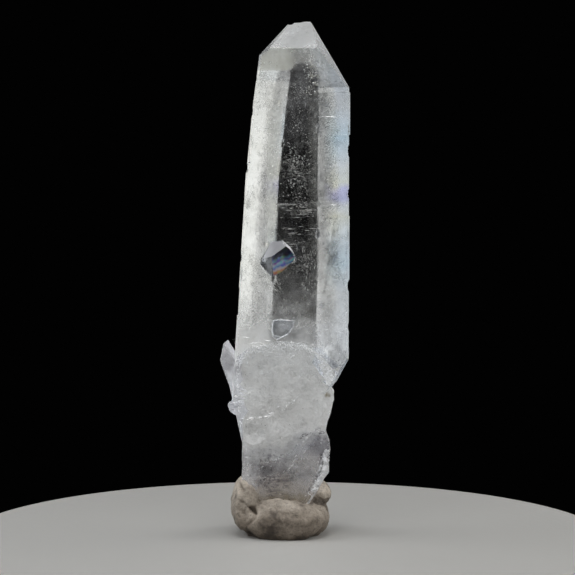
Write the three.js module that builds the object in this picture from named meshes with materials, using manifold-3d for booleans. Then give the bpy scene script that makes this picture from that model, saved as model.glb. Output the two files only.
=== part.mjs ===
// A quartz crystal standing in a pinched pad of mounting putty.
// Millimetres, +Z up. +X is to the right and +Y away from someone who faces the widest prism face.
import * as THREE from 'three';
import { ConvexGeometry } from 'three/addons/geometries/ConvexGeometry.js';
import { mergeVertices } from 'three/addons/utils/BufferGeometryUtils.js';
import { ImprovedNoise } from 'three/addons/math/ImprovedNoise.js';
import Module from 'manifold-3d';

const wasm = await Module();
wasm.setup();

// Driving dimensions. Azimuth 0 faces the viewer and +90 is to the right, in degrees.
// A reach is the distance of a face from the prism's axis at a given height.
const turn = -3;
const prism = {
  axisX: 1.2,
  axisY: 4.9,
  midHeight: 61.4,
  bottom: 19,
};
const prismSides = {
  front: [{ azimuth: 0, reach: 5.36 }],
  right: [{ azimuth: 60, reach: 10.69 }, { azimuth: 120, reach: 5.97 }],
  rear: [{ azimuth: 180, reach: 5.33 }],
  left: [{ azimuth: -120, reach: 5.62 }, { azimuth: -60, reach: 10.11 }],
};
// The left side narrows upwards in three stages, each starting at its own height.
const leftTaper = [
  { from: 61.4, rise: 3.07, drop: 0 },
  { from: 67.7, rise: 4.95, drop: 0.34 },
  { from: 78, rise: 6.52, drop: 1.23 },
];
// Faces of the point: azimuth before the crystal is turned, tilt, reach and the height of that reach.
const point = [
  { azimuth: 0, rise: 38.2, reach: 5.36, height: 88.4 },
  { azimuth: 180, rise: 38.2, reach: 5.33, height: 84.65 },
  { azimuth: -120, rise: 25.2, reach: 3.02, height: 87.8 },
  { azimuth: -60, rise: 46.3, reach: 7.82, height: 87.3 },
  { azimuth: 120, rise: 20.9, reach: 5.97, height: 81.5 },
  { azimuth: 60, rise: 32.8, reach: 10.69, height: 81.5 },
];
// Growth plates, thin steps on the prism faces between two heights.
const growthPlates = [
  { side: 'left', low: 25, high: 40.6, thick: 0.13 },
  { side: 'left', low: 45.5, high: 66.2, thick: 0.1 },
  { side: 'right', low: 73, high: 80.6, thick: 0.16 },
  { side: 'right', low: 47, high: 58.5, thick: 0.1 },
  { side: 'rear', low: 36.5, high: 60.5, thick: 0.14 },
];
const putty = {
  middleX: -1.6,
  middleY: 4.9,
  crystalFloor: 2.6,
  gap: 0.3,
};
const white = 0xe6e8ea;
const grey = 0x948b7e;

const noise = new ImprovedNoise();
const inRadians = THREE.MathUtils.degToRad;

// A closed geometry as a solid that can be joined and cut.
function solidOf(geometry) {
  const bare = geometry.clone();
  bare.deleteAttribute('normal');
  bare.deleteAttribute('uv');
  const merged = mergeVertices(bare, 1e-4);
  return new wasm.Manifold(new wasm.Mesh({
    numProp: 3,
    vertProperties: Float32Array.from(merged.attributes.position.array),
    triVerts: Uint32Array.from(merged.index.array),
  }));
}

function geometryOf(solid) {
  const mesh = solid.getMesh();
  const geometry = new THREE.BufferGeometry();
  geometry.setAttribute('position', new THREE.BufferAttribute(mesh.vertProperties, 3));
  geometry.setIndex(new THREE.BufferAttribute(mesh.triVerts, 1));
  geometry.computeVertexNormals();
  return geometry;
}

function joined(solids) {
  return solids.reduce((whole, solid) => whole.add(solid));
}

function without(solid, cuts) {
  return cuts.reduce((left, cut) => left.subtract(cut), solid);
}

// A plane through a place, facing outwards at an azimuth and tilted up by a rise.
function plane(azimuth, rise, place) {
  const a = inRadians(azimuth);
  const r = inRadians(rise);
  const flat = Math.cos(r);
  const normal = new THREE.Vector3(flat * Math.sin(a), -flat * Math.cos(a), Math.sin(r));
  return new THREE.Plane().setFromNormalAndCoplanarPoint(normal, place);
}

// A crystal face, placed by its reach from the axis at a height.
function face({ azimuth, rise = 0, reach, height = prism.midHeight }) {
  const turned = azimuth + turn;
  const a = inRadians(turned);
  const x = prism.axisX + reach * Math.sin(a);
  const y = prism.axisY - reach * Math.cos(a);
  return plane(turned, rise, new THREE.Vector3(x, y, height));
}

function cornerOf(a, b, c) {
  const across = new THREE.Vector3().crossVectors(b.normal, c.normal);
  const volume = a.normal.dot(across);
  if (Math.abs(volume) < 1e-6) return null;
  const corner = across.multiplyScalar(-a.constant);
  corner.addScaledVector(new THREE.Vector3().crossVectors(c.normal, a.normal), -b.constant);
  corner.addScaledVector(new THREE.Vector3().crossVectors(a.normal, b.normal), -c.constant);
  return corner.divideScalar(volume);
}

// The convex solid inside all the planes. Each corner is where three of them meet.
function inside(planes) {
  const corners = [];
  const keep = (corner) => {
    if (!corner) return;
    if (planes.some((p) => p.distanceToPoint(corner) > 1e-5)) return;
    if (corners.some((known) => known.distanceTo(corner) < 1e-4)) return;
    corners.push(corner);
  };
  for (let i = 0; i < planes.length; i += 1) {
    for (let j = i + 1; j < planes.length; j += 1) {
      for (let k = j + 1; k < planes.length; k += 1) {
        keep(cornerOf(planes[i], planes[j], planes[k]));
      }
    }
  }
  return solidOf(new ConvexGeometry(corners));
}

function hullOf(points) {
  return solidOf(new ConvexGeometry(points.map((p) => new THREE.Vector3(...p))));
}

// An uneven ball: radii along x, y and z, an unevenness in millimetres and the size of its dents.
function lump({ at, radii, uneven = 0, dent = 3, seed = 0, lean = 0, spin = 0, fine = 20 }) {
  const geometry = new THREE.SphereGeometry(1, fine, Math.round(fine * 0.7));
  geometry.deleteAttribute('normal');
  geometry.deleteAttribute('uv');
  const ball = mergeVertices(geometry, 1e-4);
  const place = ball.attributes.position;
  const v = new THREE.Vector3();
  for (let i = 0; i < place.count; i += 1) {
    v.fromBufferAttribute(place, i);
    const outward = v.clone();
    v.set(v.x * radii[0], v.y * radii[1], v.z * radii[2]);
    const push = uneven * noise.noise(v.x / dent + seed, v.y / dent + seed * 2, v.z / dent);
    v.addScaledVector(outward, push);
    place.setXYZ(i, v.x, v.y, v.z);
  }
  ball.rotateY(inRadians(lean));
  ball.rotateZ(inRadians(spin));
  ball.translate(...at);
  return solidOf(ball);
}

// Faces of the long prism. Extra millimetres can be added to one side, for a growth plate.
function prismFaces(extra = {}) {
  return Object.entries(prismSides).flatMap(([side, faces]) => {
    const stages = side === 'left' ? leftTaper : [{ from: prism.midHeight, rise: 0, drop: 0 }];
    const more = extra[side] ?? 0;
    return faces.flatMap(({ azimuth, reach }) => stages.map(({ from, rise, drop }) => (
      face({ azimuth, rise, reach: reach - drop + more, height: from })
    )));
  });
}

function level(height, facing) {
  return new THREE.Plane(new THREE.Vector3(0, 0, facing), -facing * height);
}

// The main crystal: prism and point, undercut at the right and drawn in at the left of its foot.
function mainCrystal() {
  const foot = [
    level(prism.bottom, -1),
    plane(90, -27.2, new THREE.Vector3(9.79, 0, 31.07)),
    plane(62, -33, new THREE.Vector3(9.6, 0, 31.2)),
    plane(-90, -12.4, new THREE.Vector3(-9.58, 0, 21.3)),
    plane(-118, -38, new THREE.Vector3(-5.6, 8.6, 26.5)),
    plane(172, -46, new THREE.Vector3(1, 10.2, 25.5)),
    plane(124, -36, new THREE.Vector3(6.3, 8, 31)),
  ];
  return inside([...prismFaces(), ...point.map(face), ...foot]);
}

// A growth plate stands out of one side, with its upper and lower edges sloped.
function growthPlate({ side, low, high, thick }) {
  const slope = 62;
  const lip = 0.06;
  const edges = prismSides[side].flatMap(({ azimuth, reach }) => [
    face({ azimuth, rise: slope, reach: reach + lip - taperAt(side, high), height: high }),
    face({ azimuth, rise: -slope, reach: reach + lip - taperAt(side, low), height: low }),
  ]);
  const inwards = { left: 90, right: -90, rear: 0 }[side];
  const heart = plane(inwards, 0, new THREE.Vector3(prism.axisX, prism.axisY, low));
  return inside([...prismFaces({ [side]: thick }), ...edges, heart, level(high, 1), level(low, -1)]);
}

// How far the left faces have come in at a height, compared with the middle of the prism.
function taperAt(side, height) {
  if (side !== 'left') return 0;
  const coming = leftTaper.map(({ from, rise, drop }) => drop + Math.tan(inRadians(rise)) * (height - from));
  return Math.max(...coming);
}

// The broken foot below the prism: a middle piece and a lower piece that sits in the putty.
function middlePiece() {
  return inside([
    plane(-160, 40, new THREE.Vector3(-4, 8.6, 27.5)),
    level(31, 1),
    level(17.5, -1),
    plane(90, 0, new THREE.Vector3(7.9, 0, 25)),
    plane(90, -15.6, new THREE.Vector3(7.29, 0, 22.7)),
    plane(90, 30, new THREE.Vector3(7.9, 0, 26.4)),
    plane(20, -4, new THREE.Vector3(7, 0.9, 25)),
    plane(-8, -3, new THREE.Vector3(0, -0.1, 25)),
    plane(-90, -12.4, new THREE.Vector3(-9.58, 0, 21.3)),
    plane(-132, -12, new THREE.Vector3(-5.2, 7.6, 22)),
    plane(176, -8, new THREE.Vector3(1, 9.3, 22)),
    plane(122, -10, new THREE.Vector3(6.2, 6.6, 22)),
  ]);
}

function lowerPiece(grow = 0) {
  const planes = [
    plane(165, 36, new THREE.Vector3(0, 9.8, 21.5)),
    plane(-100, 34, new THREE.Vector3(-8.6, 5, 20.5)),
    level(25, 1),
    level(putty.crystalFloor, -1),
    plane(90, -2, new THREE.Vector3(7.16, 0, 15.4)),
    plane(90, 22, new THREE.Vector3(7.05, 0, 17.6)),
    plane(90, -32, new THREE.Vector3(6.3, 0, 10.6)),
    plane(35, -8, new THREE.Vector3(6.2, 1.5, 14)),
    plane(-3, -2, new THREE.Vector3(-1, 0.55, 14)),
    plane(-52, -3, new THREE.Vector3(-8.2, 1.5, 13)),
    plane(-93, -1, new THREE.Vector3(-8.7, 3, 16)),
    plane(-128, -6, new THREE.Vector3(-7.2, 7.4, 14)),
    plane(-170, -5, new THREE.Vector3(-2, 9.3, 14)),
    plane(150, -7, new THREE.Vector3(4, 9, 14)),
    plane(0, -48, new THREE.Vector3(0, 1.6, 5.2)),
    plane(180, -44, new THREE.Vector3(0, 8.4, 4.8)),
    plane(-90, -40, new THREE.Vector3(-7.6, 0, 5)),
  ];
  planes.forEach((side) => {
    side.constant -= grow;
  });
  return inside(planes);
}

// Shell-shaped scoops of the broken surfaces, largest first.
function scoops() {
  return [
    { at: [-3.6, -3, 25.2], radii: [17, 4.1, 14.6], uneven: 0.5, dent: 3.6, seed: 1.3, fine: 36 },
    { at: [1.6, -3.4, 25.6], radii: [8.2, 4.6, 12.6], uneven: 0.45, dent: 3, seed: 4.1, fine: 30 },
    { at: [-4.2, -4.4, 12.2], radii: [8.4, 5.3, 9.4], uneven: 0.55, dent: 2.6, seed: 2.2, lean: 12, fine: 28 },
    { at: [4.6, -4.2, 15.4], radii: [6.6, 5.1, 7.2], uneven: 0.5, dent: 2.2, seed: 6.3, lean: -24, fine: 26 },
    { at: [-6.6, -1.2, 18.9], radii: [3.2, 2.9, 2.6], uneven: 0.35, dent: 1.6, seed: 3.7, fine: 16 },
    { at: [0, 13.2, 27.5], radii: [8.6, 4.6, 9.4], uneven: 0.5, dent: 3, seed: 5.2, lean: 14, fine: 28 },
    { at: [-5.6, 12.4, 15.5], radii: [6.4, 4.4, 7], uneven: 0.5, dent: 2.6, seed: 7.7, lean: -10, fine: 22 },
    { at: [4.6, 12.5, 15], radii: [5.4, 4.3, 6.2], uneven: 0.5, dent: 2.4, seed: 9.4, lean: 18, fine: 22 },
    { at: [11.4, 4.6, 22.8], radii: [3.9, 5, 3.4], uneven: 0.35, dent: 2, seed: 2.9, fine: 18 },
    { at: [-12, 6.4, 17], radii: [3.9, 4.6, 4.2], uneven: 0.4, dent: 2, seed: 1.9, fine: 18 },
  ].map(lump);
}

// The bright ragged row of splinters down the right of the lower piece.
function splinters(grow = 0) {
  return [
    { at: [6.35, 2.5, 15.3], radii: [0.75, 1.5, 1.3], uneven: 0.3, dent: 0.7, seed: 2, lean: 8 },
    { at: [6.2, 2.3, 13.7], radii: [0.85, 1.6, 1.1], uneven: 0.35, dent: 0.6, seed: 5, lean: 14 },
    { at: [5.85, 2.1, 12.4], radii: [0.95, 1.6, 1.2], uneven: 0.35, dent: 0.7, seed: 9, lean: 24 },
    { at: [5.45, 2.2, 11.1], radii: [0.8, 1.6, 1.2], uneven: 0.3, dent: 0.6, seed: 4, lean: 30 },
    { at: [4.85, 2.3, 9.9], radii: [0.8, 1.6, 1.3], uneven: 0.35, dent: 0.7, seed: 7, lean: 32 },
    { at: [4.2, 2.4, 8.7], radii: [0.7, 1.5, 1.2], uneven: 0.3, dent: 0.6, seed: 1, lean: 36 },
  ].map((chip) => lump({ ...chip, radii: chip.radii.map((radius) => radius + grow), fine: 9 }));
}

// The small blade crystal at the left of the foot: a flat six-sided blade that leans outwards.
function bladeCrystal() {
  const mid = 2.2;
  return hullOf([
    [-11.27, mid, 35.9],
    [-11.99, mid - 0.5, 35.35], [-11.9, mid + 0.6, 35.2],
    [-12.64, mid - 0.7, 32.3], [-12.55, mid + 0.8, 31.6],
    [-11.1, mid - 1.35, 33.6], [-11, mid + 1.4, 33.2],
    [-10.7, mid - 0.3, 35.05], [-9.8, mid - 0.5, 33.7],
    [-11.66, mid - 0.9, 29.5], [-11.5, mid + 1, 29.2],
    [-10.5, mid - 0.8, 26.2], [-10.3, mid + 0.8, 25.8],
    [-8.6, mid - 1.2, 31], [-8.4, mid + 1.4, 30.6],
    [-8.8, mid, 25.6],
  ]);
}

function sideLump() {
  const mid = 2.3;
  return hullOf([
    [-10.5, mid, 24.95], [-11.27, mid - 0.5, 24.3], [-11.34, mid + 0.3, 23.8],
    [-10.94, mid - 0.7, 23], [-10.9, mid + 0.9, 23.3], [-10.06, mid, 22.2],
    [-8.8, mid - 1.5, 24.6], [-8.8, mid + 1.6, 24.4], [-8.6, mid, 22],
  ]);
}

// The front prism face's place along Y at a distance to the right.
function frontAt(x) {
  const a = inRadians(turn);
  const [front] = prismSides.front;
  return prism.axisY - (front.reach - Math.sin(a) * (x - prism.axisX)) / Math.cos(a);
}

// A low crystal on the front face. Its outline runs clockwise from the upper left, seen from the front.
// Each facet drops away from the peak by so much to the right and so much upwards, and may be lifted.
function frontCrystal({ peak, height, facets, outline, flare }) {
  const top = new THREE.Vector3(peak[0], frontAt(peak[0]) - height, peak[1]);
  const planes = facets.map(([right, up, lift = 0]) => {
    const normal = new THREE.Vector3(right, -1, up).normalize();
    const place = new THREE.Vector3(top.x, top.y - lift, top.z);
    return new THREE.Plane().setFromNormalAndCoplanarPoint(normal, place);
  });
  outline.forEach((here, i) => {
    const next = outline[(i + 1) % outline.length];
    const normal = new THREE.Vector3(-(next[1] - here[1]), -flare, next[0] - here[0]);
    normal.y *= Math.hypot(normal.x, normal.z);
    normal.normalize();
    const place = new THREE.Vector3(here[0], frontAt(here[0]), here[1]);
    planes.push(new THREE.Plane().setFromNormalAndCoplanarPoint(normal, place));
  });
  planes.push(plane(180, 0, new THREE.Vector3(0, frontAt(peak[0]) + 1, 0)));
  return inside(planes);
}

function clearCrystal() {
  return frontCrystal({
    peak: [-3.28, 51.3],
    height: 2,
    facets: [[-0.41, 0.69], [-0.1, -0.46], [0.38, -0.42], [1.5, 0.9, 5.3]],
    outline: [
      [-5.0, 52.6], [-3.75, 53.85], [-1.3, 54.1], [0.0, 52.95], [0.5, 52.2],
      [1.05, 50.9], [0.85, 49.85], [-1.8, 48.1], [-3.4, 47.55], [-5.7, 50.0], [-5.25, 50.75],
    ],
    flare: 0.12,
  });
}

function lowCrystal() {
  return frontCrystal({
    peak: [-1, 38.2],
    height: 0.6,
    facets: [[-0.1, 0.12], [0.16, 0.03], [0.02, -0.14]],
    outline: [
      [-3.1, 39.65], [-1.95, 39.95], [0.95, 39.7], [0.6, 38.45], [-0.4, 37.1],
      [-2.4, 36.15], [-3.2, 36.9], [-3.4, 37.95],
    ],
    flare: 0.5,
  });
}

// A six-sided pit, wider than it is deep.
function etchPit([x, y, z, size]) {
  const walls = [0, 60, 120, 180, 240, 300].map((azimuth) => {
    const a = inRadians(azimuth);
    const place = new THREE.Vector3(x + size * Math.sin(a), y - (size / 2) * Math.cos(a), z);
    return plane(azimuth, 12, place);
  });
  return inside([...walls, level(z + size * 0.8, 1), level(z - size * 0.8, -1)]);
}

// Small damage: the chip at the point, nicks along the side edges and pits in the faces.
function nicks() {
  const tipChips = [
    { at: [0.05, 3.2, 94.05], radii: [0.95, 3.6, 1.35], uneven: 0.2, dent: 1, seed: 3, fine: 16 },
    { at: [1.2, 3.2, 95.6], radii: [3.4, 5, 2.55], uneven: 0.2, dent: 1.5, seed: 7, fine: 18 },
  ].map(lump);
  const edgeNicks = [
    [10.75, -0.4, 70.2, 0.55], [10.7, -0.3, 45.9, 0.5], [10.6, -0.5, 38.5, 0.45], [-6.3, 0.6, 83.2, 0.4],
    [-6.95, 0.7, 77.2, 0.4], [-7.85, 0.7, 67.2, 0.45], [-8.95, 0.8, 51, 0.4], [10.5, -0.4, 62.4, 0.4],
    [-2.9, 10.4, 47, 0.6], [5.3, 10.3, 55, 0.5], [5.3, 10.2, 74, 0.45], [-1.2, 10.5, 71.5, 0.4],
  ].map(([x, y, z, size], i) => lump({
    at: [x, y, z], radii: [size, size, size * 2.2], uneven: 0.15, dent: 0.5, seed: i, fine: 10,
  }));
  const pits = [
    [5.2, -0.6, 85.6, 0.5], [4.7, -0.75, 86.5, 0.4], [-5.9, 0.05, 55.4, 0.35], [6.9, -1.2, 44.3, 0.4],
    [2.6, 10.15, 78.4, 0.5], [0.9, 10.3, 52.6, 0.6], [3.3, 10.2, 42.4, 0.5],
  ].map(etchPit);
  return [...tipChips, ...edgeNicks, ...pits];
}

function quartz() {
  const grown = joined([mainCrystal(), ...growthPlates.map(growthPlate)]);
  const foot = joined([grown, middlePiece(), lowerPiece()]);
  const broken = without(foot, [...scoops(), ...nicks()]);
  return joined([broken, ...splinters(), bladeCrystal(), sideLump(), clearCrystal(), lowCrystal()]);
}

// The thin edge where the putty is pressed out flat on the surface that it stands on.
function pressedEdge() {
  const reaches = [
    [0, 7.3], [45, 6.5], [90, 6.7], [135, 6.2], [180, 5.9], [-135, 5.8], [-90, 6.1], [-45, 6.3],
  ];
  const sides = reaches.map(([azimuth, reach]) => {
    const a = inRadians(azimuth);
    const place = new THREE.Vector3(putty.middleX + reach * Math.sin(a), putty.middleY - reach * Math.cos(a), 0);
    return plane(azimuth, 35, place);
  });
  return inside([...sides, level(0.8, 1), level(-1, -1)]);
}

// The putty: a pad with a rolled edge in front, a high lobe at the left and a pinched one at the right.
function puttyPad() {
  const x = putty.middleX;
  const y = putty.middleY;
  const lumps = [
    { at: [x, y, 3.3], radii: [8.7, 7.8, 4.4], uneven: 0.6, dent: 3.4, seed: 2, fine: 26 },
    { at: [x + 0.7, y - 5.3, 3.1], radii: [7.2, 3.3, 3.5], uneven: 0.5, dent: 2.6, seed: 5, fine: 26 },
    { at: [x - 6.4, y - 1.1, 6.3], radii: [2.7, 4.6, 4.7], uneven: 0.5, dent: 2.4, seed: 8, lean: 8 },
    { at: [x - 6.5, y - 3.6, 3.6], radii: [2.3, 2.5, 2.5], uneven: 0.4, dent: 2, seed: 4, fine: 16 },
    { at: [x + 6.9, y + 0.4, 7.4], radii: [2.3, 3.6, 2.2], uneven: 0.4, dent: 1.8, seed: 3, lean: 30 },
    { at: [x + 5.6, y - 0.6, 3.4], radii: [3.3, 5.2, 3.4], uneven: 0.4, dent: 2.4, seed: 6 },
    { at: [x + 0.5, y + 5.6, 5.2], radii: [6.6, 3, 4.9], uneven: 0.6, dent: 2.8, seed: 9, lean: 3, fine: 22 },
    { at: [x - 4.9, y + 4, 4.9], radii: [3.7, 3.3, 4.5], uneven: 0.5, dent: 2.4, seed: 11 },
  ].map(lump);
  const reach = 30;
  const ground = solidOf(new THREE.BoxGeometry(reach, reach, reach).translate(0, y, -reach / 2));
  const dents = [
    { at: [-8.9, -0.2, 9], radii: [0.45, 0.8, 0.55], fine: 10 },
    { at: [-6.3, -3.4, 5.6], radii: [0.5, 1, 1.2], lean: 25, fine: 10 },
  ].map(lump);
  const cuts = [ground, lowerPiece(putty.gap), ...splinters(putty.gap), ...dents];
  return without(joined([...lumps, pressedEdge()]), cuts);
}

function piece(name, solid, color, roughness) {
  const material = new THREE.MeshStandardMaterial({ color, roughness, metalness: 0 });
  const mesh = new THREE.Mesh(geometryOf(solid), material);
  mesh.name = name;
  return mesh;
}

const crystalAndPutty = new THREE.Group();
crystalAndPutty.add(piece('quartz_crystal', quartz(), white, 0.1));
crystalAndPutty.add(piece('putty_base', puttyPad(), grey, 0.8));

// The origin is the middle of the bottom of the whole object's box.
const box = new THREE.Box3().setFromObject(crystalAndPutty);
const middle = box.getCenter(new THREE.Vector3());
crystalAndPutty.position.set(-middle.x, -middle.y, -box.min.z);

export default crystalAndPutty;
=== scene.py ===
import math
import random
import bmesh
import bpy
from mathutils import Matrix, Vector, noise


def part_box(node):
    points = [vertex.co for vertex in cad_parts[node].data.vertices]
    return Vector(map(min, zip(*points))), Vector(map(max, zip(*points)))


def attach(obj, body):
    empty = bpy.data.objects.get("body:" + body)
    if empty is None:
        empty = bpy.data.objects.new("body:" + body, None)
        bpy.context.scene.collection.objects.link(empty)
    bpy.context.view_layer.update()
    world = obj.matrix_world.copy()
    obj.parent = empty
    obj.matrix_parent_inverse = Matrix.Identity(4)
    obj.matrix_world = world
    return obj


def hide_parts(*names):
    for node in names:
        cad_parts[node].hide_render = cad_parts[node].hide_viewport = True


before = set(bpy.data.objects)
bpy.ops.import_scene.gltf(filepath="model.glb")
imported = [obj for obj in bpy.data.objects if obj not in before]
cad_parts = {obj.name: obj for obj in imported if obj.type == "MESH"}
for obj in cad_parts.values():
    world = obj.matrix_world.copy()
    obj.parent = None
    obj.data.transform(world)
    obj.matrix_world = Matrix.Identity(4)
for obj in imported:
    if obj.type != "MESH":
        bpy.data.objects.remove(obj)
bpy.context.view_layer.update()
print("frame loaded:", sorted(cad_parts))

# Places are written in millimetres as the CAD source writes them, before it centres the object
shiftX, shiftY = 0.9485, -5.0287
mm = 0.001
pixel = 0.18                    # millimetres a pixel of the photograph
middleColumn, bottomRow = 290, 541


def spot(x, y, z):
    return Vector(((x + shiftX) * mm, (y + shiftY) * mm, z * mm))


def frontSide(x):
    return 4.9 - (5.36 + math.sin(math.radians(3)) * (x - 1.2)) / math.cos(math.radians(3))


def pickNothing():
    if bpy.context.object and bpy.context.object.mode != "OBJECT":
        bpy.ops.object.mode_set(mode="OBJECT")
    bpy.ops.object.select_all(action="DESELECT")


def pick(piece):
    pickNothing()
    piece.select_set(True)
    bpy.context.view_layer.objects.active = piece


# Camera, light and floor
studio = {
    "lens": 135,
    "distance": 0.388,
    "cameraRise": 4,            # degrees above level
    "target": (0.0004985, -0.0053, 0.0456),
    "lightsAim": (0, 0, 0.045),
    "lights": {
        "rightBack": {"angle": 58, "away": 0.62, "size": (0.46, 0.6), "high": 0.045, "power": 0.86,
            "colour": (1, 0.995, 0.935)},
        "rightSide": {"angle": 112, "away": 0.62, "size": (0.46, 0.6), "high": 0.045, "power": 0.46,
            "colour": (1, 0.99, 0.95)},
        "leftBack": {"angle": -58, "away": 0.62, "size": (0.46, 0.6), "high": 0.045, "power": 0.56,
            "colour": (0.92, 0.96, 1)},
        "leftSide": {"angle": -112, "away": 0.62, "size": (0.46, 0.6), "high": 0.045, "power": 0.3,
            "colour": (0.96, 0.98, 1)},
        "frontCard": {"angle": 185.5, "away": 0.62, "size": (0.36, 0.3), "high": -0.142, "power": 0.3,
            "colour": (1, 0.995, 0.95)},
        "front": {"angle": 205, "away": 0.75, "size": (0.4, 0.4), "high": 0.5, "power": 1.1,
            "colour": (1, 0.985, 0.96)},
        "frontLeft": {"angle": 150, "away": 0.75, "size": (0.4, 0.4), "high": 0.35, "power": 0.6,
            "colour": (0.97, 0.98, 1)},
        "rightHigh": {"angle": 84, "away": 0.5, "size": (0.3, 0.3), "high": 0.46, "power": 1.1,
            "colour": (1, 0.99, 0.97)},
        "leftHigh": {"angle": -88, "away": 0.5, "size": (0.3, 0.3), "high": 0.46, "power": 1.2,
            "colour": (0.97, 0.985, 1)},
        "top": {"angle": 190, "away": 0.16, "size": (0.4, 0.4), "high": 0.7, "power": 1.9,
            "colour": (1, 1, 1)},
    },
    "surround": 0.0006,
    "floorRadius": 0.06,
    "bounces": 24,
}


def softBox(name, angle, away, size, high, power, colour):
    a = math.radians(angle)
    place = Vector((math.sin(a) * away, math.cos(a) * away, high))
    bpy.ops.object.light_add(type="AREA", location=place)
    box = bpy.context.object
    box.name = name
    box.data.shape = "RECTANGLE"
    box.data.size, box.data.size_y = size
    box.data.energy = power
    box.data.color = colour
    box.visible_camera = False
    box.rotation_euler = (Vector(studio["lightsAim"]) - place).to_track_quat("-Z", "Y").to_euler()


def makeStudio():
    pickNothing()
    rise = math.radians(studio["cameraRise"])
    target = Vector(studio["target"])
    back = Vector((0, -math.cos(rise), math.sin(rise)))
    bpy.ops.object.camera_add(location=target + back * studio["distance"])
    camera = bpy.context.object
    camera.rotation_euler = (-back).to_track_quat("-Z", "Y").to_euler()
    camera.data.lens = studio["lens"]
    camera.data.sensor_width = 36
    camera.data.clip_start, camera.data.clip_end = 0.01, 20
    bpy.context.scene.camera = camera
    for name, row in studio["lights"].items():
        softBox(name + "Light", **row)
    world = bpy.data.worlds.new("darkStudio")
    world.use_nodes = True
    level = studio["surround"]
    world.node_tree.nodes["Background"].inputs["Color"].default_value = (level, level, level, 1)
    bpy.context.scene.world = world
    bpy.context.scene.view_settings.view_transform = "Standard"
    cycles = bpy.context.scene.cycles
    cycles.max_bounces = cycles.transmission_bounces = studio["bounces"]
    cycles.glossy_bounces = 12
    cycles.transparent_max_bounces = 32
    print("studio ready")


def makeFloor():
    pickNothing()
    bpy.ops.mesh.primitive_cylinder_add(vertices=96, radius=studio["floorRadius"], depth=0.006,
        location=(0, 0, -0.003))
    floor = bpy.context.object
    floor.name = "paleFloor"
    bevel = floor.modifiers.new("roundedEdge", "BEVEL")
    bevel.width, bevel.segments = 0.0012, 3
    bpy.ops.object.modifier_apply(modifier=bevel.name)
    bpy.ops.object.shade_smooth_by_angle(angle=math.radians(30))
    material = bpy.data.materials.new("palePaper")
    material.use_nodes = True
    nodes, links = material.node_tree.nodes, material.node_tree.links
    shader = nodes["Principled BSDF"]
    shader.inputs["Base Color"].default_value = (0.5, 0.495, 0.48, 1)
    shader.inputs["Roughness"].default_value = 0.55
    grain = nodes.new("ShaderNodeTexNoise")
    grain.inputs["Scale"].default_value = 900
    bump = nodes.new("ShaderNodeBump")
    bump.inputs["Strength"].default_value = 0.08
    bump.inputs["Distance"].default_value = 0.0003
    coords = nodes.new("ShaderNodeTexCoord")
    links.new(coords.outputs["Object"], grain.inputs["Vector"])
    links.new(grain.outputs["Fac"], bump.inputs["Height"])
    links.new(bump.outputs["Normal"], shader.inputs["Normal"])
    floor.data.materials.append(material)


makeStudio()
makeFloor()


# Shared effects, as node groups
def newGroup(name, takes, gives):
    group = bpy.data.node_groups.new(name, "ShaderNodeTree")
    for label, kind, value in takes:
        socket = group.interface.new_socket(name=label, in_out="INPUT", socket_type="NodeSocket" + kind)
        if value is not None:
            socket.default_value = value
    for label, kind in gives:
        group.interface.new_socket(name=label, in_out="OUTPUT", socket_type="NodeSocket" + kind)
    return group, group.nodes.new("NodeGroupInput"), group.nodes.new("NodeGroupOutput")


def addNode(tree, kind, values=None, links=None, **settings):
    node = tree.nodes.new("ShaderNode" + kind)
    for key, value in settings.items():
        setattr(node, key, value)
    for key, value in (values or {}).items():
        node.inputs[key].default_value = value
    for key, source in (links or {}).items():
        tree.links.new(source, node.inputs[key])
    return node


def maths(tree, operation, a, b=None, c=None):
    node = tree.nodes.new("ShaderNodeMath")
    node.operation = operation
    for i, value in enumerate((a, b, c)):
        if value is None:
            continue
        if isinstance(value, (int, float)):
            node.inputs[i].default_value = value
        else:
            tree.links.new(value, node.inputs[i])
    return node.outputs[0]


def mixColours(tree, factor, a, b, blend="MIX"):
    node = tree.nodes.new("ShaderNodeMix")
    node.data_type = "RGBA"
    node.blend_type = blend
    for key, value in ((0, factor), (6, a), (7, b)):
        if hasattr(value, "links"):
            tree.links.new(value, node.inputs[key])
        else:
            node.inputs[key].default_value = value
    return node.outputs[2]


def ramp(tree, source, stops, interpolation="LINEAR"):
    node = tree.nodes.new("ShaderNodeValToRGB")
    node.color_ramp.interpolation = interpolation
    marks = node.color_ramp.elements
    while len(marks) < len(stops):
        marks.new(0.5)
    for mark, (place, colour) in zip(marks, stops):
        mark.position = place
        mark.color = colour if len(colour) == 4 else (*colour, 1)
    tree.links.new(source, node.inputs["Fac"])
    return node.outputs["Color"]


def grey(v):
    return (v, v, v, 1)


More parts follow.
